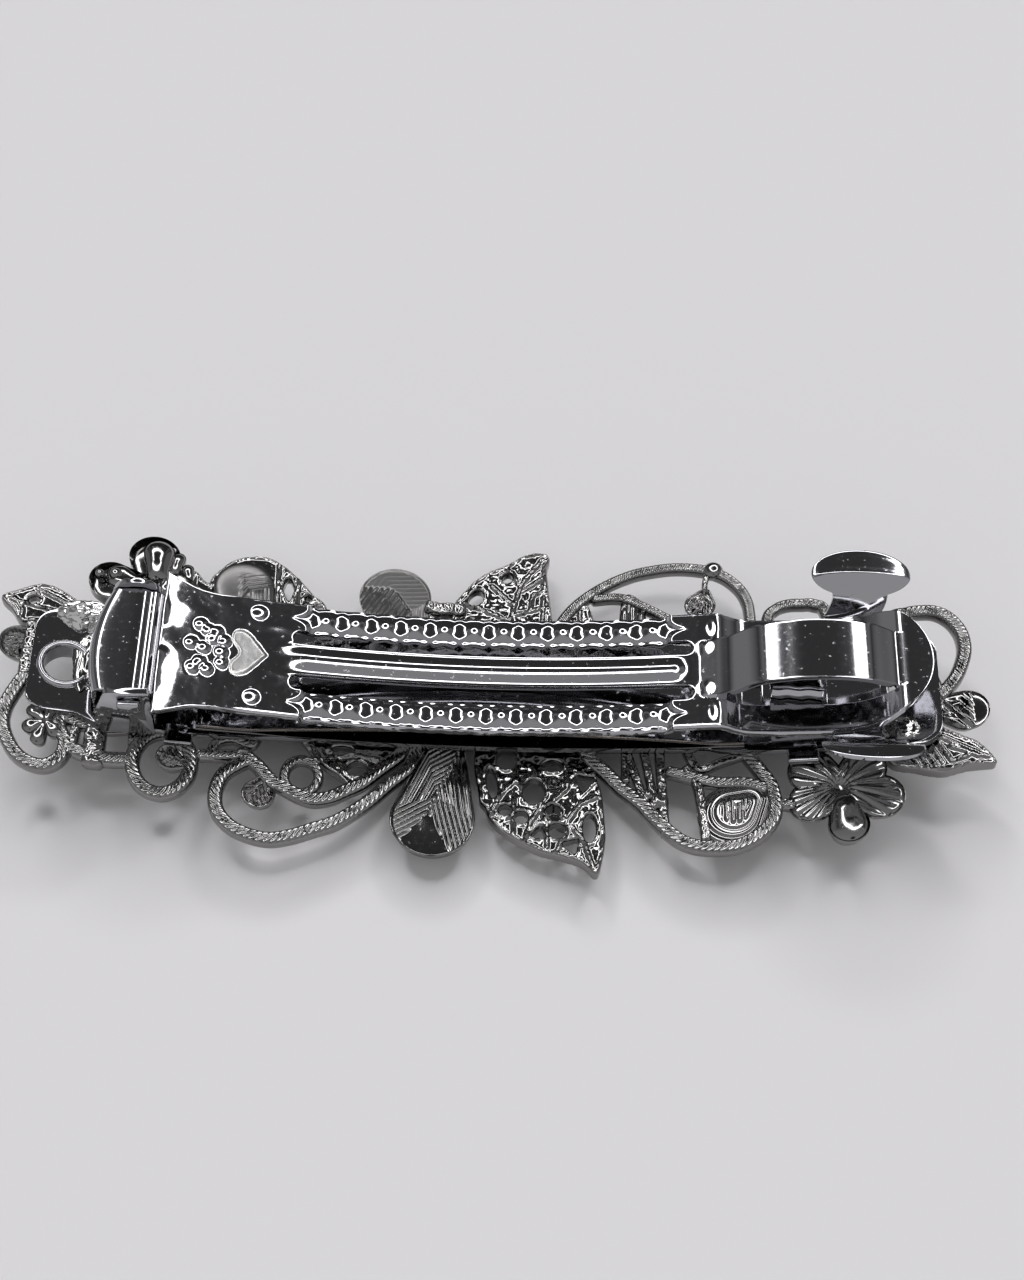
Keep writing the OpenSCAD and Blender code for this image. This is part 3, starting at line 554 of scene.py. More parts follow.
# The heart is matt, because the press tool was left rough there
arm.data.materials.append(frosted_finish)
for p in arm.data.polygons:
    at = p.center / MM - SHIFT
    if p.normal.z > 0.5 and in_heart(at.x, at.y):
        p.material_index = 1

# %% [markdown]
# ## The base plate
# A bowed strip soldered to the plaque, with a round hole in each end, four side lugs and two hinge ears.
# The real ones are blanked and pressed, so the edges are slightly rounded and show as thin bright lines.
# The strip is a grid again. Its holes are cut with a cylinder, because a grid can't make a clean circle.

# %% Base plate's outline
END_X, END_R, BASE_GAUGE = 33.2, 1.8, 0.6


def half_base(x):
    x = abs(x)
    half = 4.6 if x < 14 else 4.6 + 0.4 * min(1, (x - 14) / 8)
    if x > END_X:
        half = 3.2 + math.sqrt(max(0, END_R**2 - (x - END_X) ** 2))
    return half


ends = [END_X + END_R * math.sin(math.radians(a)) for a in range(0, 91, 10)]
right = steps(0, 28, 28) + steps(28, END_X, 12) + ends
base_columns = [-x for x in reversed(right)] + right[1:]
base_rows = steps(-5, 5, 20) + [5]


def base_place(x, r):
    y = r * half_base(x) / 5
    # The near side of the hinge end is cut narrower
    if y < 0 and x < -29:
        y *= 1 - 0.15 * ease((-29 - x) / 2.5)
    return Vector((x, y, base_z(x)))


# %% Plate and holes
SEW_X, SEW_R, LATCH_HOLE_R = 32.4, 1.85, 1.3


def cut(obj, tool):
    """Takes the tool's volume out of a piece."""
    only(obj)
    m = obj.modifiers.new("cut", "BOOLEAN")
    m.operation = "DIFFERENCE"
    m.solver = "EXACT"
    m.object = tool
    apply_all(obj)
    bpy.data.objects.remove(tool)
    return obj


base = mapped_grid("base", base_columns, base_rows, base_place)
solidify(base, BASE_GAUGE)
rims = []
for x, r in ((-SEW_X, SEW_R), (SEW_X, LATCH_HOLE_R)):
    slope = (0, -math.asin(x / 180), 0)
    bpy.ops.mesh.primitive_cylinder_add(vertices=64, radius=r, depth=3, location=(x, 0, base_z(x)),
                                        rotation=slope)
    cut(base, bpy.context.object)
    bpy.ops.mesh.primitive_torus_add(major_radius=r + 0.05, minor_radius=0.17 if x > 0 else 0.3,
                                     major_segments=64, minor_segments=12,
                                     location=(x, 0, base_z(x) - 0.04), rotation=slope)
    rims.append(only(bpy.context.object))
    if x < 0:
        # The sewing hole's edge is drawn down into a short collar
        bpy.ops.mesh.primitive_cylinder_add(vertices=64, radius=r + 0.02, depth=1.7, end_fill_type="NOTHING",
                                            location=(x, 0, base_z(x) - 1.0), rotation=slope)
        rims.append(solidify(only(bpy.context.object), -0.2))
bevel(base, 0.1, 2, 50)
parts = [base] + rims
print("base plate", tuple(round(d, 2) for d in base.dimensions), "mm")

# %% Side lugs
# (left, right, reach from the middle line)
LUGS = ((-24.4, -22.2, 6.0), (23.3, 25.7, 6.05))
for x0, x1, half in LUGS:
    for side in (-1, 1):
        mid = (x0 + x1) / 2
        bpy.ops.mesh.primitive_cube_add(size=1, location=(mid, side * (half + 4.2) / 2, base_z(mid) - 0.3),
                                        scale=(x1 - x0, half - 4.2, 0.6))
        lug = only(bpy.context.object)
        bpy.ops.object.transform_apply(location=False, rotation=False, scale=True)
        lug.rotation_euler = (0, -math.asin(mid / 180), 0)
        bevel(lug, 0.16, 3)
        parts.append(lug)
print("pieces of the base plate so far", len(parts))


# %% Hinge ears
EAR_Y, EAR_GAUGE, BORE_R = 5.25, 0.5, 0.55


def ear(side, outline):
    """A hinge ear, drawn as its side view and given its gauge by an extrusion."""
    bpy.ops.mesh.primitive_circle_add(vertices=len(outline), radius=1, fill_type="NGON")
    obj = only(bpy.context.object)
    for v, (x, z) in zip(obj.data.vertices, outline):
        v.co = Vector((x, side * EAR_Y, z))
    gauge = {"value": (0, -side * EAR_GAUGE, 0)}
    in_edit(obj, lambda: bpy.ops.mesh.extrude_region_move(TRANSFORM_OT_translate=gauge))
    closed_up(obj, 0.02)
    bpy.ops.mesh.primitive_cylinder_add(vertices=40, radius=BORE_R, depth=3,
                                        rotation=(math.radians(90), 0, 0),
                                        location=(PIN_X, side * 5, PIN_Z))
    cut(obj, bpy.context.object)
    bevel(obj, 0.09, 2, 35)
    return obj


# The far ear is a round disc on a stem; the near one was nipped flat on top and sheared at the left
arch = [math.radians(a) for a in range(0, 181, 10)]
far_ear = [(-25.0, 5.2)] + [(-27.05 + 1.95 * math.cos(a), 9.1 + 1.95 * math.sin(a)) for a in arch]
far_ear.append((-29.1, 5.4))
near_ear = [(-25.05, 5.2), (-25.0, 10.5), (-25.15, 10.7), (-28.1, 10.7), (-28.4, 10.55), (-29.55, 7.6),
            (-29.1, 5.4)]
parts += [ear(1, far_ear), ear(-1, near_ear)]
base = join(parts, "base_plate_sheet")
settle(base, "clip", sheet_finish)
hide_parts("base_plate")

# %% [markdown]
# ## Solder
# The plaque and the base plate are joined with solder. It shows as two bright lumps at the hinge end and as a
# thin uneven skin elsewhere. Each lump is a ball, flattened and roughened with noise. Fluid simulation could
# make it too, but a lump that has set needs no motion.


# %% Solder
def solder(x, y, size, lift, seed):
    """A lump of solder: a flattened ball with an uneven skin."""
    bpy.ops.mesh.primitive_ico_sphere_add(subdivisions=5, radius=1)
    ball = only(bpy.context.object)
    for v in ball.data.vertices:
        v.co *= 1 + 0.35 * noise.noise(v.co * 1.4 + Vector((seed, 0, 0))) + 0.10 * noise.noise(v.co * 6)
        v.co = Vector((v.co.x * size[0] + x, v.co.y * size[1] + y, v.co.z * size[2] + base_z(x) + lift))
    return ball


lumps = [solder(-31.7, 4.6, (2.0, 1.15, 0.9), 0.15, 1), solder(-29.9, 3.9, (1.3, 1.3, 0.7), 0, 4)]
solder_lumps = join(lumps, "solder_lumps")
flux = join([solder(-30.7, 0.4, (1.1, 2.9, 0.3), 0, 7), solder(-31.0, -0.6, (0.9, 1.2, 0.8), -0.8, 3),
             solder(32.4, -3.6, (1.6, 1.0, 0.22), 0, 9), solder(30.6, -3.2, (1.3, 1.2, 0.2), 0, 12)],
            "solder_skin")
settle(flux, "clip", cast_finish, 60)
settle(solder_lumps, "clip", solder_finish, 60)

# %% [markdown]
# ## The bow spring
# A thin springy strip that presses the hair against the arm. It is a plain arch with flat feet, so one short
# grid with a parabola for its height is enough. Its sheared edges are worn and brownish, so the faces that
# look sideways get a finish of their own.


# %% Bow spring
def bow_place(x, y):
    foot_z = base_z(18) + 0.45
    z = 5.8 - (5.8 - foot_z) * (x / 18) ** 2 if abs(x) < 18 else base_z(x) + 0.45
    return Vector((x, y, z))


bow = mapped_grid("bow", [-22 + 0.6 * k for k in range(71)], [-4.5, -4.4, -3, -1, 1, 3, 4.4, 4.5], bow_place)
solidify(bow, 0.4)
bevel(bow, 0.08, 2, 50)
settle(bow, "clip", sheet_finish)
bow.name = "bow_spring_strip"
bow.data.materials.append(edge_finish)
for p in bow.data.polygons:
    p.material_index = int(abs(p.normal.y) > 0.6)
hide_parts("bow_spring")

# %% [markdown]
# ## The latch spring
# One blank with a foot, two hooks that catch the ring, and two finger tabs with an oval, grooved lip that
# curls over. The tabs are what a finger and a thumb squeeze. Each part is a grid, and only the tabs' lips
# need thought: their rows follow the lip's side view, a crease, three ridges and a turned edge.

# %% The tabs' lip
# Half width of the neck, half length and half width of the oval head
TAB_HALF, HEAD_A, HEAD_B = 2.1, 3.85, 1.75
# Where the tabs rise from the foot, and how steeply
TAB_Y, TAB_Z, TAB_TURN, NEAR_EXTRA = 4.75, 6.9, math.radians(47), math.radians(5)
CURL_STEPS = 60
# The lip's side view, as (along, down) points for a length of 1
CURL = [(0.0, 0.0)]
for k in range(CURL_STEPS):
    w = (k + 0.5) / CURL_STEPS
    ridges = 3 * math.sin(6 * math.pi * w) * (w < 0.9)
    lean = 39 * ease(w / 0.08) + 7 * w + 14 * ease((w - 0.9) / 0.1) + ridges
    CURL.append((CURL[-1][0] + math.cos(math.radians(lean)), CURL[-1][1] + math.sin(math.radians(lean))))
CURL = [(a / CURL[-1][0], d / CURL[-1][0]) for a, d in CURL]
head_v = math.hypot(11.05 - TAB_Z, 9.75 - TAB_Y) - HEAD_B
tab_rows = (steps(-0.75, 0, 6) + steps(0, head_v - 1.45, 10)
            + [head_v + HEAD_B * math.sin(math.radians(a)) for a in range(-56, 0, 4)]
            + [head_v + HEAD_B * math.sin(math.radians(a / 2)) for a in range(0, 181, 3)])
tab_cols = [math.sin(math.radians(a)) for a in range(-90, 91, 6)]
print("a tab's grid", len(tab_cols), "by", len(tab_rows))


def tab_place(side):
    """The finger tab: a sloping neck and an oval head whose outer rim curls over in three ridges."""
    def place(u, v):
        dv = v - head_v
        oval = HEAD_A * math.sqrt(max(0.0, 1 - (dv / HEAD_B) ** 2))
        half = max(TAB_HALF, oval) if dv < 0 else max(oval, 0.03)
        mid = 28.4 + 0.6 * ease((v - 1) / 2)
        top = HEAD_B * math.sqrt(max(0.0, 1 - (u * half / HEAD_A) ** 2)) if abs(u * half) < HEAD_A else 0
        start = 0.3 * top - 0.35
        away, up = v, 0.0
        if dv > start and top - start > 0.05:
            w = (dv - start) / (top - start)
            k = min(int(w * CURL_STEPS), CURL_STEPS - 1)
            f = w * CURL_STEPS - k
            along, down = [CURL[k][c] * (1 - f) + CURL[k + 1][c] * f for c in (0, 1)]
            away = head_v + start + (top - start) * along
            up = -(top - start) * down * (1 if side > 0 else 0.6)
        if v < 0:
            y, z = TAB_Y + v, max(TAB_Z + v * 0.62, base_z(mid + u * half) + 0.5)
        else:
            turn = TAB_TURN + (0 if side > 0 else NEAR_EXTRA)
            y = TAB_Y + away * math.cos(turn) - up * math.sin(turn)
            z = TAB_Z + away * math.sin(turn) + up * math.cos(turn)
        return Vector((mid + u * half, side * y, z))
    return place


# %% Tabs and hooks
latch_parts = []
hook_columns = [21.8, 21.95] + steps(22.1, 25.5, 17) + [25.5, 25.65, 25.8]
hook_rows = [5.7, 6.5, 7.5, 8.4, 8.7, 8.85, 9.0, 9.2, 9.4]


def hook_place(side):
    """An upright strip whose head leans out over the ring's rail."""
    return lambda x, z: Vector((x, side * (2.3 + 0.22 * hill(z - 8.85, 0.45)
                                           + 0.05 * math.sin(3.9 * (x - 21.8))), z))


for side in (-1, 1):
    tab = mapped_grid("tab", tab_cols, tab_rows, tab_place(side))
    hook = mapped_grid("hook", hook_columns, hook_rows, hook_place(side))
    # A mirrored grid shows its back, so it is turned over before it gets its gauge
    in_edit(tab if side < 0 else hook, bpy.ops.mesh.flip_normals)
    solidify(tab, 0.42)
    bevel(tab, 0.12, 3, 50)
    solidify(hook, 0.48)
    bevel(hook, 0.1, 2, 50)
    latch_parts += [tab, hook]
print("tabs and hooks", [len(o.data.polygons) for o in latch_parts], "faces")

# %% Foot and necks
foot = mapped_grid("foot", [21.4, 21.6] + steps(22.4, 30.2, 20) + [30.2, 30.4], [-3, -2.9, -1, 1, 2.9, 3],
                   lambda x, y: Vector((x, y, base_z(x) + 0.55)))
necks = mapped_grid("necks", [26.3, 26.45] + steps(27, 30, 6) + [30.35, 30.5], [-4.4, -4, -2, 0, 2, 4, 4.4],
                    lambda x, y: Vector((x, y, base_z(x) + 0.56)))
for sheet in (foot, necks):
    solidify(sheet, 0.5)
    bevel(sheet, 0.1, 2, 50)
latch = join([foot, necks] + latch_parts, "latch_spring_sheet")
settle(latch, "clip", sheet_finish)
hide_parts("latch_spring")

# %% [markdown]
# ## The plaque's scrolls
# The plaque is one zinc casting: scrolls with a twisted cord along their back, pierced leaves with lumpy
# veins, ribbed cups and petals, on a plain spine under the base plate. It is made in four groups, because
# each needs its own method. Curves swept with a bevel could make the scrolls, but not their twist, so each
# scroll is a grid: one way along its path, the other way round its section, with slanting strands on top.

# %% The scrolls' paths
# Width of the main scrolls. Each entry is a path and a width, all seen from the back.
W = 1.15
SCROLLS = [
    ([(-35.2, -0.6), (-35.8, -1.8), (-36.5, -4), (-36.4, -5.8), (-35.4, -7.7), (-34.2, -8.6), (-32.9, -8.7),
      (-31.9, -7.8), (-31.7, -6.4), (-32.3, -5.2), (-32.3, -3.5)], W),
    ([(-33.6, -3.4), (-31.2, -4.5), (-28.9, -4.8), (-26.5, -4.3)], 1.0),
    ([(-32, -6.6), (-30.4, -7.2), (-28.6, -7.5), (-26.4, -7.3)], 1.2),
    ([(-22, -6.3), (-20.3, -6.2), (-18.6, -6.1), (-17.2, -6.7)], 0.95),
    ([(-21, -6.4), (-20.4, -5), (-19.2, -4.6), (-17.8, -5), (-17.2, -3.6)], 0.75),
    ([(-17.6, -6.2), (-18.6, -6.8), (-19.6, -7.7), (-20.1, -9), (-20.1, -10.3), (-19.7, -11.4),
      (-18.7, -12.4), (-17.3, -13), (-15.8, -13.2), (-14.2, -12.8), (-12.6, -12.1), (-10.9, -11.3),
      (-8.8, -9.6), (-7.2, -7.8), (-5.6, -6), (-5, -3.6)], W),
    ([(-18.9, -5.5), (-18.2, -6), (-17.1, -6.9), (-16.1, -8.1), (-15.1, -8.6), (-13.9, -9.2), (-12.8, -9.5),
      (-11.5, -9.2), (-10.3, -8.5), (-9.1, -7.7), (-7.9, -6.5), (-6.4, -5), (-5.8, -3.6)], W),
    ([(5.6, 3.6), (5.6, 6.8), (6.1, 8.2), (7.1, 9.6), (8.5, 10.9), (10, 11.9), (11.7, 12.7), (13.3, 13.1),
      (14.9, 13.3), (16.5, 13.2), (17.8, 12.9), (19, 12.3), (20, 11.3), (20.6, 10.2), (20.9, 8.9), (21, 6),
      (21, 3.6)], 0.95),
    ([(8.2, 10.2), (9.8, 10.4), (10.9, 10.3), (12.3, 9.6), (13.9, 8.6), (14.8, 7.6), (15, 3.6)], 0.8),
    ([(22.4, 3.6), (22.3, 7.8), (23, 8.9), (24, 9.3), (25.1, 9.3), (26, 9.2), (26.9, 8.3), (27.2, 3.6)],
     0.95),
    ([(7.6, -3.6), (8.3, -4.9), (9.5, -6.2), (10.7, -7.6), (12.1, -8.9), (12.8, -9.8), (13.9, -11.1),
      (14.8, -12), (15.8, -12.6), (17.1, -12.9), (18.8, -12.9), (19.9, -12.6), (20.9, -12), (21.7, -11.2),
      (22.2, -10.3), (22.3, -9), (22, -7.5), (21.4, -6.4), (20.7, -5.3), (19.6, -3.6)], W),
    ([(31.6, 3.6), (32, 7.2), (33.1, 7.7), (34.2, 7.8), (35.4, 7.6), (36.4, 6.8), (37.1, 5.5), (37.3, 4.1),
      (37.1, 2.9), (36.5, 1.4), (35.7, 0.3), (34.9, -0.6)], W),
    ([(14, -6), (16.2, -6.7), (18, -7.2), (20.2, -7.3), (22, -8)], 1.0),
    ([(21.8, -9.3), (22.8, -9.2), (24, -9.5)], 0.9),
]
RINGS = [((-24.4, -7.3), 2.2, 2.75, W), ((-13.8, -7.5), 1.3, 1.5, 0.8)]
PLAIN = [
    ([(-35.3, 4.2), (-35.4, -1.2)], 1.3), ([(-29.6, -4), (-29.5, -8.5)], 1.7),
    ([(-31, -3.5), (-31.2, -7)], 0.8), ([(-26.8, -3.5), (-26.6, -7)], 0.9),
    ([(-14.2, -3.6), (-12.8, -5.6), (-12.9, -6.4)], 0.7), ([(-5.2, 9.1), (-3.6, 8.9), (-1.6, 8.9)], 1.3),
    ([(-5.6, 4), (-4.2, 8.3)], 1), ([(18, 13), (17.5, 12), (17.4, 10.4)], 0.5), ([(16.9, 9), (16.9, 3.6)], 1),
    ([(10.9, -3.6), (12.6, -9.2)], 0.7), ([(12.3, -3.6), (13.2, -8.8)], 0.7),
    ([(13.6, -3.6), (14, -12)], 0.8), ([(15.4, -5.6), (16.5, -7.4), (17.1, -12.6)], 0.8),
    ([(11, -4), (11, -7.4)], 0.7), ([(12.8, -8.8), (14.4, -8.9)], 1.3),
    ([(15.4, -3.5), (16.6, -5.9), (18.4, -5.3), (20.4, -4.6)], 0.7),
    ([(33.4, 3.8), (34.8, 0.6), (34.4, -1.8), (33, -3.6)], 1.2),
]


# %% A smooth line through points
def smooth_line(pts, gap, closed=False):
    """Points every gap along a smooth line through pts."""
    n = len(pts)
    line = []
    for i in range(n if closed else n - 1):
        around = [k % n if closed else min(max(k, 0), n - 1) for k in (i - 1, i, i + 1, i + 2)]
        a, b, c, d = [Vector(pts[k]) for k in around]
        for k in range(12):
            t = k / 12
            line.append(0.5 * (2 * b + (c - a) * t + (2 * a - 5 * b + 4 * c - d) * t * t
                               + (3 * b - a - 3 * c + d) * t ** 3))
    line.append(Vector(pts[0] if closed else pts[-1]))
    out, left = [line[0]], gap
    for p, q in zip(line, line[1:]):
        d = (q - p).length
        while d >= left:
            p = p + (q - p) * (left / d)
            out.append(p.copy())
            d, left = (q - p).length, gap
        left -= d
    return out


# %% One twisted scroll
STEP = 0.085
# Half of the scroll's section: (across in half widths, height over the plaque's back)
HALF_SECTION = [(0.0, 0.06), (0.16, 0.06), (0.32, 0.055), (0.48, 0.045), (0.64, 0.02), (0.8, -0.03),
                (0.93, -0.13), (1.0, -0.34), (0.97, -0.7), (0.75, -0.95), (0.0, -1.0)]
SECTION = [(-t, h) for t, h in HALF_SECTION[::-1]] + HALF_SECTION[1:]
# Fullness of the section at an open end's first points
ROUNDED_END = [0, 0.55, 0.8, 0.93]


def rope(path, width, closed=False, cord=0.06, pitch=0.45, slant=1.1, rough=0.0):
    """One scroll: a section carried along a path, with slanting strands on its crown."""
    n = len(path)
    length = STEP * (n - 1)
    pitch = length / max(1, round(length / pitch))

    def place(i, k):
        if closed:
            before, after, full = path[(i - 1) % (n - 1)], path[(i + 1) % (n - 1)], 1
        else:
            before, after = path[max(i - 1, 0)], path[min(i + 1, n - 1)]
            full = (ROUNDED_END + [1])[min(i, n - 1 - i, 4)]
        heading = (after - before).normalized()
        t, h = SECTION[k]
        x = path[i].x - heading.y * t * width / 2 * full
        y = path[i].y + heading.x * t * width / 2 * full
        if h > -0.5:
            turn = 2 * math.pi * (i * STEP - slant * t * width / 2) / pitch
            seed = noise.noise(Vector((x * 1.2, y * 1.2, 7)))
            h += cord * hill(t, 1.2) * (1 + 0.6 * seed) * math.cos(turn + 1.5 * seed)
            h += rough * (noise.noise(Vector((x * 2.2, y * 2.2, 2)))
                          + 0.5 * noise.noise(Vector((x * 5, y * 5, 4))))
        return Vector((x, y, back_z(x) - 0.45 + (h + 0.45) * full * (0.55 + 0.45 * width / W)))
    return closed_up(mapped_grid("rope", list(range(n)), list(range(len(SECTION))), place))


# %% Scrolls, rings and plain bars
NEAR_TWIST, FAR_TWIST = {"pitch": 0.48, "slant": 1.2}, {"pitch": 0.36, "slant": 0.5}
scrolls = [rope(smooth_line(p, STEP), w, **(NEAR_TWIST if p[0][1] < 0 else FAR_TWIST)) for p, w in SCROLLS]
for (x, y), rx, ry, w in RINGS:
    n = round(2 * math.pi * (rx + ry) / 2 / STEP)
    turns = [2 * math.pi * k / n for k in range(n + 1)]
    scrolls.append(rope([Vector((x + rx * math.cos(a), y + ry * math.sin(a))) for a in turns], w, True))
scrolls += [rope(smooth_line(p, STEP), w, cord=0.0, rough=0.13) for p, w in PLAIN]
print("scrolls", sum(len(o.data.polygons) for o in scrolls), "faces")

# %% [markdown]
# ## The plaque's leaves
# The real leaves are flat, pierced with round and three-cornered holes, and covered with lumpy veins. A leaf
# is a filled curve with its holes as inner loops. Filled curves have long thin faces that can't carry veins,
# so each is remeshed into small even ones, and the veins are then raised like clay along their lines.

# %% The leaves' drawings
# Name: outline, holes as (x, y, radius along, radius across, turn, corners), veins, roughness
LEAVES = {
    "left_leaf": ([(-31, 4), (-33, 4), (-35, 4.2), (-36.4, 4), (-37.2, 5), (-38.2, 6.1), (-37, 7),
                   (-35.2, 7.9), (-33.4, 7.4), (-31.2, 5.7)],
                  [(-35.7, 6.3, 0.45, 0.3, 30)],
                  [[(-31.5, 4.6), (-34, 5.4), (-37.6, 6)], [(-31.4, 5.5), (-34, 6.6), (-35.6, 7.3)],
                   [(-37.2, 6.2), (-36.4, 5.2), (-36.4, 4.4)]], 0.5),
    "shell": ([(-22.4, 4), (-22.5, 9.6), (-21.5, 11.6), (-20.4, 12.6), (-19.1, 13), (-17.9, 13),
               (-16.9, 12.5), (-16.1, 11.9), (-15, 10.8), (-14, 9.6), (-12.9, 8.4), (-12.3, 4)],
              [(-16.1, 10.1, 0.45, 1.5, 5, 4), (-14.5, 9.2, 0.35, 0.6, 10, 3), (-20, 6, 1.3, 1, 0),
               (-16.4, 6, 1.2, 1, 0)],
              [[(-16.9, 4), (-16.9, 9), (-17, 12.2)], [(-15.3, 4), (-15.3, 11)],
               [(-16, 8.2), (-13.4, 8.6)]], 0.45),
    "far_leaf": ([(-2.4, 4), (-2.8, 9), (-2.2, 10.5), (-1.1, 12), (0, 12.9), (1.5, 13.7), (2.9, 14.7),
                  (4.5, 14.9), (4.9, 14.2), (4.7, 13.2), (4.9, 10.8), (5.2, 8.2), (5.4, 4)],
                 [(-1.0, 10.2, 0.55, 0.85, -25), (1.5, 12.3, 0.4, 0.5, -20), (1, 6.4, 0.9, 1.1, 0),
                  (3.9, 6.4, 0.8, 1.1, 0)],
                 [[(1.6, 4), (1.8, 8), (2.6, 11.6), (4.3, 14.2)], [(1.8, 8), (-0.4, 9), (-2, 9.6)],
                  [(2, 9.6), (0.2, 11.4)], [(2.6, 11.4), (1.4, 13.2)], [(2.2, 8.6), (4.6, 9.4)],
                  [(2.8, 11), (4.5, 12.4)], [(3.4, 9), (3.6, 10.6), (4.6, 11)], [(4.4, 8), (4.5, 14)]], 1),
    "near_leaf": ([(0, -3.5), (-0.2, -8.4), (0.3, -9.4), (0.6, -10.3), (1.3, -11.2), (2.6, -12.2),
                   (4.5, -13.2), (6, -13.6), (7.7, -14.2), (8.7, -15.2), (9.1, -14.7), (9.5, -12.2),
                   (9.4, -10), (9.2, -8), (8.8, -6.7), (8, -3.5)],
                  [(1.85, -5.08, 0.8, 0.9, 0), (0.79, -7.24, 0.38, 1.4, 8), (4.0, -7.94, 0.85, 1.15, 0),
                   (7.87, -7.0, 1.0, 1.0, 20, 3), (5.55, -9.8, 0.68, 0.7, 0), (5.83, -11.37, 0.65, 0.65, 0),
                   (6.96, -12.63, 0.9, 0.85, 50, 3), (8.3, -11.1, 0.5, 1.3, 0), (1.85, -9.63, 0.5, 0.5, 0),
                   (3.08, -10.24, 0.55, 0.55, 0), (4.47, -11.6, 0.8, 0.7, 80, 3), (5.4, -5.6, 0.8, 0.5, 0)],
                  [[(2.7, -4), (2.6, -7), (4.6, -9.1), (6.6, -10.6), (7.9, -12.4), (8.6, -14.6)],
                   [(2.6, -7), (1.4, -8.4), (0.8, -10)], [(4.6, -9.2), (3.8, -10.8), (3.4, -12.4)],
                   [(4.7, -9.3), (5, -10.7), (5.1, -12.9)], [(6.6, -10.6), (6.4, -12), (5.8, -13.3)],
                   [(5.3, -9), (6.6, -7.6), (6.2, -4)], [(6.6, -10.6), (7.6, -9), (8.8, -8.4)],
                   [(2.5, -8.4), (2.5, -11.6)]], 1),
    "right_leaf": ([(30.8, -3.5), (31, -6), (32.9, -6.7), (34.2, -7.1), (35.2, -7.2), (36.5, -6.9),
                    (37.7, -6.8), (38.9, -6.7), (38.4, -5.6), (37.6, -4.6), (36.6, -4), (35.6, -3.4),
                    (34, -2.6)],
                   [],
                   [[(31.4, -4.2), (35, -4.1), (38.2, -6.1)], [(31.2, -6.4), (34, -7), (37.6, -6.6)],
                    [(32.2, -4.8), (33.2, -6.5)], [(32.8, -4.6), (33.8, -6.6)],
                    [(33.4, -4.5), (34.4, -6.6)], [(34, -4.5), (34.9, -6.4)], [(34.7, -4.5), (35.6, -6.3)],
                    [(35.6, -5), (36.4, -5.3), (37.6, -6)], [(35.8, -6.2), (36.8, -5.9)]], 0.4),
    "wavy_leaf": ([(-26.4, 6), (-26, 12.4), (-25.1, 12.9), (-25.6, 11.8), (-24.9, 11.1), (-23.6, 11),
                   (-22.8, 10.1), (-22, 9.3), (-22, 4)], [],
                  [[(-25.6, 7), (-25.4, 12.2)], [(-24.2, 6), (-23.6, 10.4)]], 0.6),
    "web_a": ([(-12.5, -3.6), (-12.5, -6), (-11, -7.2), (-9.6, -8.2), (-7.4, -6.6), (-6, -3.6)],
              [(-9.6, -6.5, 0.8, 0.65, 0), (-10.8, -4.9, 0.9, 0.4, 0)], [[(-12, -5), (-8, -5.6)]], 1),
    "web_b": ([(6.2, 3.6), (6.2, 8.2), (7.4, 9.8), (8.4, 8.8), (8.8, 3.6)], [], [[(7.4, 4), (7.4, 9)]], 1),
    "web_c": ([(10.8, 10.4), (12.6, 9.4), (12.4, 3.6), (10.6, 3.6)], [],
              [[(11.2, 4), (11.3, 9.6)], [(12, 4), (12, 9.4)]], 0.6),
}


# %% One leaf
def to_line(p, line):
    """Distance from a point to a line of points."""
    best = 9.0
    for a, b in zip(line, line[1:]):
        ab = (b[0] - a[0], b[1] - a[1])
        t = ((p[0] - a[0]) * ab[0] + (p[1] - a[1]) * ab[1]) / (ab[0] ** 2 + ab[1] ** 2 + 1e-9)
        t = min(max(t, 0), 1)
        best = min(best, math.hypot(p[0] - a[0] - ab[0] * t, p[1] - a[1] - ab[1] * t))
    return best


def outline_curve(name, loops):
    """A flat curve of closed loops. The inner ones become holes."""
    data = bpy.data.curves.new(name, "CURVE")
    data.dimensions = "2D"
    data.fill_mode = "BOTH"
    data.extrude = 0.5
    for loop in loops:
        s = data.splines.new("POLY")
        s.points.add(len(loop) - 1)
        for p, co in zip(s.points, loop):
            p.co = (co[0], co[1], 0, 1)
        s.use_cyclic_u = True
    obj = bpy.data.objects.new(name, data)
    bpy.context.scene.collection.objects.link(obj)
    return obj


VOXEL = 0.13
ROUND_HOLE = 15


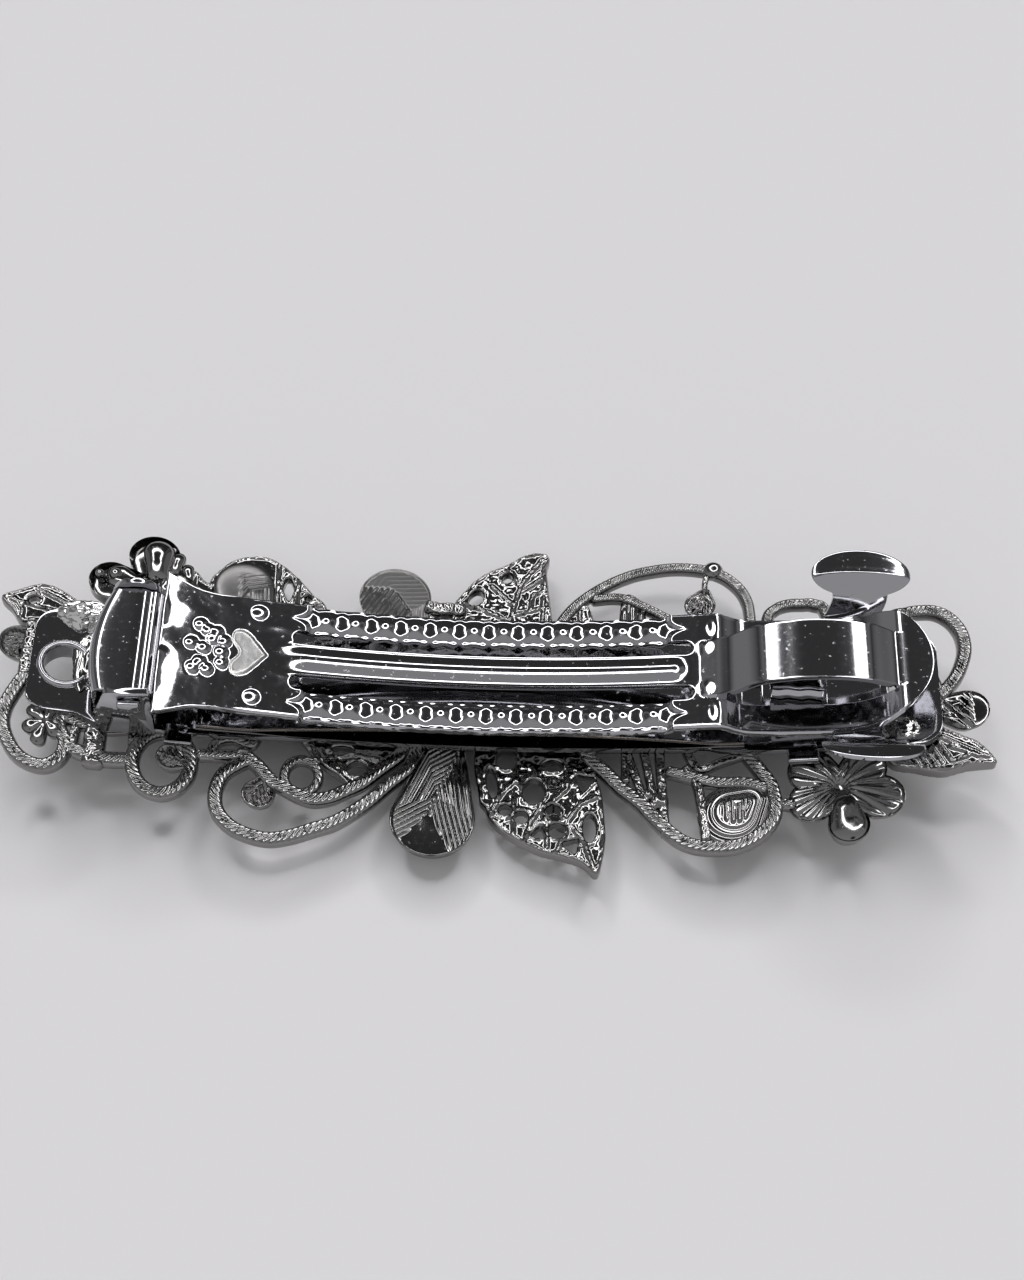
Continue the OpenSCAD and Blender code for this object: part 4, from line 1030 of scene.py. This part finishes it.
def leaf(name, outline, holes, veins, rough):
    """A pierced leaf: filled, remeshed, and raised at its rims and veins."""
    rim = smooth_line(outline, 0.3, True)
    loops = [rim[:-1]]
    for cx, cy, rx, ry, turn, *corners in holes:
        a = math.radians(turn)
        n = corners[0] if corners else ROUND_HOLE
        loops.append([(cx + rx * math.cos(t) * math.cos(a) - ry * math.sin(t) * math.sin(a),
                       cy + rx * math.cos(t) * math.sin(a) + ry * math.sin(t) * math.cos(a))
                      for t in [2 * math.pi * k / n for k in range(n)]])
    only(outline_curve(name, loops))
    bpy.ops.object.convert(target="MESH")
    obj = closed_up(bpy.context.object, 0.001)
    m = obj.modifiers.new("clay", "REMESH")
    m.mode = "VOXEL"
    m.voxel_size = VOXEL
    m = obj.modifiers.new("soft", "SMOOTH")
    m.factor = 0.5
    m.iterations = 2
    apply_all(obj)
    edges = [rim] + [loop + [loop[0]] for loop in loops[1:]]
    for v in obj.data.vertices:
        u = min(max(v.co.z + 0.5, 0), 1)
        p = (v.co.x, v.co.y)
        rise = 0.0
        if u > 0.4:
            rise = 0.12 * hill(to_line(p, edges[0]) - 0.16, 0.22)
            rise += 0.1 * max([hill(to_line(p, e) - 0.14, 0.2) for e in edges[1:]] or [0])
            rise += 0.17 * max(hill(to_line(p, vein), 0.24) for vein in veins)
            rise += rough * (0.08 * noise.noise(Vector((v.co.x * 2, v.co.y * 2, 0)))
                             + 0.07 * noise.noise(Vector((v.co.x * 6, v.co.y * 6, 1))))
        v.co.z = back_z(v.co.x) - 1.2 + u * (0.92 + max(rise, -0.12))
    return obj


leaves = [leaf(name, *shape) for name, shape in LEAVES.items()]
print("leaves", sum(len(o.data.polygons) for o in leaves), "faces")

# %% [markdown]
# ## Cups, petals and lumps
# All the rounded motifs are drops: a round end and a narrower tip. They could be spheres pulled about by
# hand. A round grid from the drop's middle out to its rim is surer, because one short rule per motif gives
# the height of its floor, ribs, dome or grooves, and the same grid goes on down as the wall.


# %% Drop-shaped forms
def drop_point(a, centre, r, tip, tip_r):
    """Point of a drop's outline in the direction a."""
    n = Vector((math.cos(a), math.sin(a)))
    c, t = Vector(centre), Vector(tip)
    return c + n * r if c.dot(n) + r >= t.dot(n) + tip_r else t + n * tip_r


def drop_form(name, centre, r, tip, tip_r, top, depth, n=72, rings=18, eye=0.35):
    """A drop as a round grid. top(x, y, edge, w) is its height, edge its distance from the rim in mm and
    w from 0 in the middle to 1 at the rim. The wall draws in below."""
    middle = Vector(centre).lerp(Vector(tip), eye)
    rim = [drop_point(2 * math.pi * j / n, centre, r, tip, tip_r) for j in range(n)]
    rim.append(rim[0])
    walls = [(0.995, -0.16), (0.96, -0.3 * depth), (0.82, -0.65 * depth), (0.55, -0.92 * depth), (0, -depth)]

    def place(k, j):
        w, drop = (k / rings, None) if k <= rings else walls[k - rings - 1]
        p = middle.lerp(rim[j], w)
        over = top(p.x, p.y, (1 - w) * (rim[j] - middle).length, w) if drop is None else drop
        return Vector((p.x, p.y, max(back_z(p.x) + over, 0.02)))
    return closed_up(mapped_grid(name, list(range(rings + 1 + len(walls))), list(range(n + 1)), place))


def herringbone(x, y, start, end, spacing, turn):
    """Ribs that slant from a midrib: 0 in the grooves to 1 on the ribs, and the distance from the midrib."""
    axis = (Vector(end) - Vector(start)).normalized()
    d = Vector((x, y)) - Vector(start)
    u, v = d.dot(axis), axis.x * d.y - axis.y * d.x
    a = math.radians(turn)
    phase = (u * math.sin(a) - abs(v) * math.cos(a)) / spacing
    return abs(2 * (phase - math.floor(phase)) - 1), v


# %% Cups, petals and lumps in general
def cup(name, centre, r, tip, tip_r, floor=-0.5, depth=1.5, turn=50, spacing=0.38, height=0.22,
        start=None, end=None):
    """A drop cup: a thin rim round a floor with a midrib and slanting ribs."""
    def top(x, y, edge, w):
        ribs, v = herringbone(x, y, start or tip, end or centre, spacing, turn)
        lump = 1 + 0.5 * noise.noise(Vector((x * 3, y * 3, 1)))
        z = floor + height * ribs * lump + height * 1.2 * hill(v, 0.22) * lump
        lip = ease((edge - 0.1) / 0.3)
        return -0.05 * (1 - ease(edge / 0.12)) * 2 * (1 - lip) + z * lip
    return drop_form(name, centre, r, tip, tip_r, top, depth, n=96, rings=22)


def petal(name, heart, centre, r, ribs=9, bulge=0.3, height=0.16, depth=1.7):
    """A petal: a low dome with ribs that spread from the flower's heart."""
    def top(x, y, edge, w):
        a = math.atan2(y - heart[1], x - heart[0])
        out = math.hypot(x - heart[0], y - heart[1])
        wave = abs(math.sin(a * ribs))
        rib = height * wave * ease((out - 0.3) / 0.6) * ease(edge / 0.25)
        return -0.42 - 0.35 * hill(out, 1.3) + bulge * math.sqrt(1 - min(w, 1) ** 2 * 0.98) + rib
    tip = Vector(heart).lerp(Vector(centre), 0.12)
    return drop_form(name, centre, r, tip, r * 0.6, top, depth, n=96, rings=20)


def lump(centre, r, tip, tip_r, rise, depth=1.7, base=-0.35):
    """A smooth shining lump."""
    def top(x, y, edge, w):
        return base + rise * math.sqrt(1 - 0.98 * w * w) + 0.03 * noise.noise(Vector((x * 1.3, y * 1.3, 0)))
    return drop_form("lump", centre, r, tip, tip_r, top, depth)


# %% Tops of the larger motifs
def near_floor(x, y, edge, w):
    """The near cup: fine slanting ribs, and a smooth fan at its end."""
    ribs, v = herringbone(x, y, (-2.1, -5), (-4, -9.9), 0.38, 36)
    from_apex = math.degrees(math.atan2(y + 9.9, x + 4))
    fan = ease((abs(from_apex + 95) - 30) / 6)
    z = -0.45 + (0.13 * ribs ** 2.5 + 0.12 * hill(v, 0.2)) * fan
    z += 0.008 * math.sin(from_apex * 0.9) * (1 - fan)
    z += 0.02 * noise.noise(Vector((x * 3, y * 3, 0))) * fan
    return -0.1 * (1 - ease(edge / 0.15)) + z * ease((edge - 0.08) / 0.25)


def far_floor(x, y, edge, w):
    """The far cup: ribs on the left of its midrib, a smooth fan on the right."""
    ribs, v = herringbone(x, y, (-7.9, 11), (-6.0, 8), 0.4, 62)
    left = ease(-v / 0.15) * ease((10.9 - y) / 0.5)
    midrib = 0.12 * hill(v, 0.2) * ease((10.6 - y) / 0.6) * (1 + noise.noise(Vector((x * 5, y * 5, 0))))
    z = -0.25 + 0.2 * ribs * left + midrib
    z += 0.022 * ribs * (1 - left) + 0.02 * y - 0.2
    return -0.12 * (1 - ease(edge / 0.2)) + z * ease((edge - 0.02) / 0.2)


def shell_top(x, y, edge, w):
    """The shell's dome: smooth above, with short ribs at its lower right."""
    ribs, v = herringbone(x, y, (-20.6, 11.2), (-17.6, 7.6), 0.36, 70)
    part = ease((x + 20.2) / 0.6) * ease((11.2 - y) / 0.6)
    return -0.3 + 0.45 * math.sqrt(1 - 0.98 * w * w) + (0.13 * ribs - 0.05) * part * ease(edge / 0.3)


def paisley_top(x, y, edge, w):
    """A domed oval with grooves round it and upright ribs in its middle."""
    z = -0.3 + 0.42 * math.sqrt(1 - 0.98 * w * w)
    z -= 0.1 * hill(w - 0.62, 0.09) + 0.08 * hill(w - 0.84, 0.07)
    return z + 0.13 * abs(math.sin(x * 6.5)) * ease((0.5 - w) / 0.15)


def ear_top(x, y, edge, w):
    """The right cup: a smooth grey body with broad bright ribs on its inner half."""
    ribs, v = herringbone(x, y, (35.4, -2.9), (37.4, -1.2), 0.62, 86)
    part = ease((37.7 - x) / 0.5) * ease((x - 35.1) / 0.4)
    return -0.4 + 0.3 * math.sqrt(1 - 0.98 * w * w) + 0.24 * (ribs - 0.4) * part * ease(edge / 0.3)


# %% Making the cups and the flowers
made = [
    cup("cup_left", (-36.2, 1.9), 1.6, (-35, 2.2), 1.0, start=(-35, 2.9), end=(-36.6, 0.9)),
    cup("cup_ring", (-23.7, -6.8), 1.2, (-22.8, -7), 0.8, floor=-0.35),
    cup("cup_tear", (-16.9, -9.4), 1.3, (-16.2, -8), 0.6, floor=-0.35),
    cup("cup_bud", (17, 9.4), 1.25, (17.4, 10.6), 0.5, floor=-0.2, depth=1.2, turn=15, spacing=0.45),
    drop_form("cup_paisley", (18.9, -10.2), 2.5, (20.6, -8.7), 1.3, paisley_top, 1.7, n=110, rings=26),
    drop_form("cup_right", (37.0, -1.8), 1.75, (35.2, -1.4), 1.1, ear_top, 1.7, n=90, rings=24),
    drop_form("cup_near", (-3.65, -10.75), 3.25, (-2.9, -4.7), 1.55, near_floor, 2.9, n=260, rings=64),
]
# Lumps as centre, radius, tip, its radius, rise, depth and base: the far flower first, the near knob last
LUMPS = [
    ((-30.0, 9.0), 1.8, (-28, 8.8), 1.3, 0.6, 1.7, -1.1),
    ((-26.9, 11.8), 2.05, (-26.6, 9.4), 1.5, 0.6, 1.7, -1.1),
    ((-29.4, 9.5), 1.1, (-28, 8.8), 0.9, 0.6), ((-26.6, 12.2), 1.25, (-26.5, 10.2), 0.9, 0.9),
    ((-24.8, 9.2), 1.5, (-25.6, 8.9), 0.8, 0.5), ((-27.4, 6.4), 1.9, (-27, 8), 1, 0.4),
    ((-25.0, 11.9), 0.55, (-25.2, 10.6), 0.4, 0.5), ((-24.2, 10.9), 0.5, (-24, 10), 0.4, 0.4),
    ((27.7, -11.3), 1.55, (27.5, -9.6), 1.2, 0.8, 2.2, -0.6),
]
# Round beads as centre, radius, rise, depth and base: on the far flower, on the near cords, at a scroll's end
BEADS = [
    ((-30.9, 9.3), 0.42, 0.45, 0.9, 0), ((-29.7, 9.5), 0.55, 0.5, 0.9, 0),
    ((12.7, -8.2), 0.5, 0.45, 1, -0.35), ((13.1, -9.2), 0.45, 0.4, 1, -0.35),
    ((13.3, -10.2), 0.4, 0.4, 1, -0.35), ((18.1, 12.9), 0.8, 0.5, 1.1, -0.2),
]
LEFT_HEART, NEAR_HEART = (-33.3, -5), (27.2, -7.9)
LEFT_PETALS = [((-34.3, -4.1), 0.6), ((-34.4, -5.5), 0.65), ((-33.7, -6.5), 0.6), ((-32.6, -5.6), 0.65),
               ((-33, -3.9), 0.6)]
NEAR_PETALS = [((25.0, -9.2), 1.75, 14), ((30.1, -9.0), 1.9, 9), ((25.2, -6.5), 1.9, 8),
               ((29.0, -6.5), 1.8, 8)]
made += [lump(*shape) for shape in LUMPS]
made += [lump(centre, r, centre, r, *rest) for centre, r, *rest in BEADS]
made += [lump(centre, r, LEFT_HEART, 0.3, 0.5, 1.2, -0.25) for centre, r in LEFT_PETALS]
made += [petal("near_petal", NEAR_HEART, *shape) for shape in NEAR_PETALS]
satin = [
    drop_form("cup_far", (-7.5, 9.75), 2.9, (-5.8, 4.4), 1.35, far_floor, 2.8, n=180, rings=48),
    drop_form("shell_dome", (-19.6, 9.8), 2.4, (-19.2, 7), 2.2, shell_top, 1.6, n=140, rings=36),
]
print("cups", sum(len(o.data.polygons) for o in made), "faces, satin",
      sum(len(o.data.polygons) for o in satin))

# %% [markdown]
# ## Feet, spine and the whole plaque
# Two stubby feet under the leaves carry the clip on the table. Two long bars and cross bars under the base
# plate tie everything together, as the casting's sprue-like back does. They hardly show, so plain grids and
# cubes are enough. At the end each group of motifs becomes one piece.

# %% Feet
FEET = ((6.5, -9, 1.5), (3, 10.6, 1.5))
for x, y, r in FEET:
    height = back_z(x) - 1.05
    bpy.ops.mesh.primitive_cone_add(vertices=24, radius1=r * 0.6, radius2=r, depth=height,
                                    location=(x, y, height / 2 + 0.02))
    made.append(bpy.context.object)

# %% Spine
for side in (-1, 1):
    spine = mapped_grid("spine", [-34.5 + 1.5 * k for k in range(47)], [-0.4, 0.4],
                        lambda x, y, s=side: Vector((x, s * 3.5 + y, back_z(x))))
    solidify(spine, 1.2)
    made.append(spine)
for k in range(15):
    x = (k - 7) * 4.3
    if abs(abs(x) - 32.4) > 3:
        bpy.ops.mesh.primitive_cube_add(size=1, location=(x, 0, back_z(x) - 0.62), scale=(1, 7, 1.2))
        made.append(bpy.context.object)
print("cups, feet and bars", len(made))

# %% One piece for each group
deselect()
for o in made:
    o.select_set(True)
bpy.context.view_layer.objects.active = made[0]
bpy.ops.object.transform_apply(location=True, rotation=True, scale=True)
for parts, name, finish in ((scrolls, "plaque_scrolls", cast_finish), (leaves, "plaque_leaves", cast_finish),
                            (made, "plaque_flowers", cast_finish), (satin, "plaque_cups", satin_finish)):
    piece = settle(join(parts, name), "clip", finish, 50)
    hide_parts("filigree")
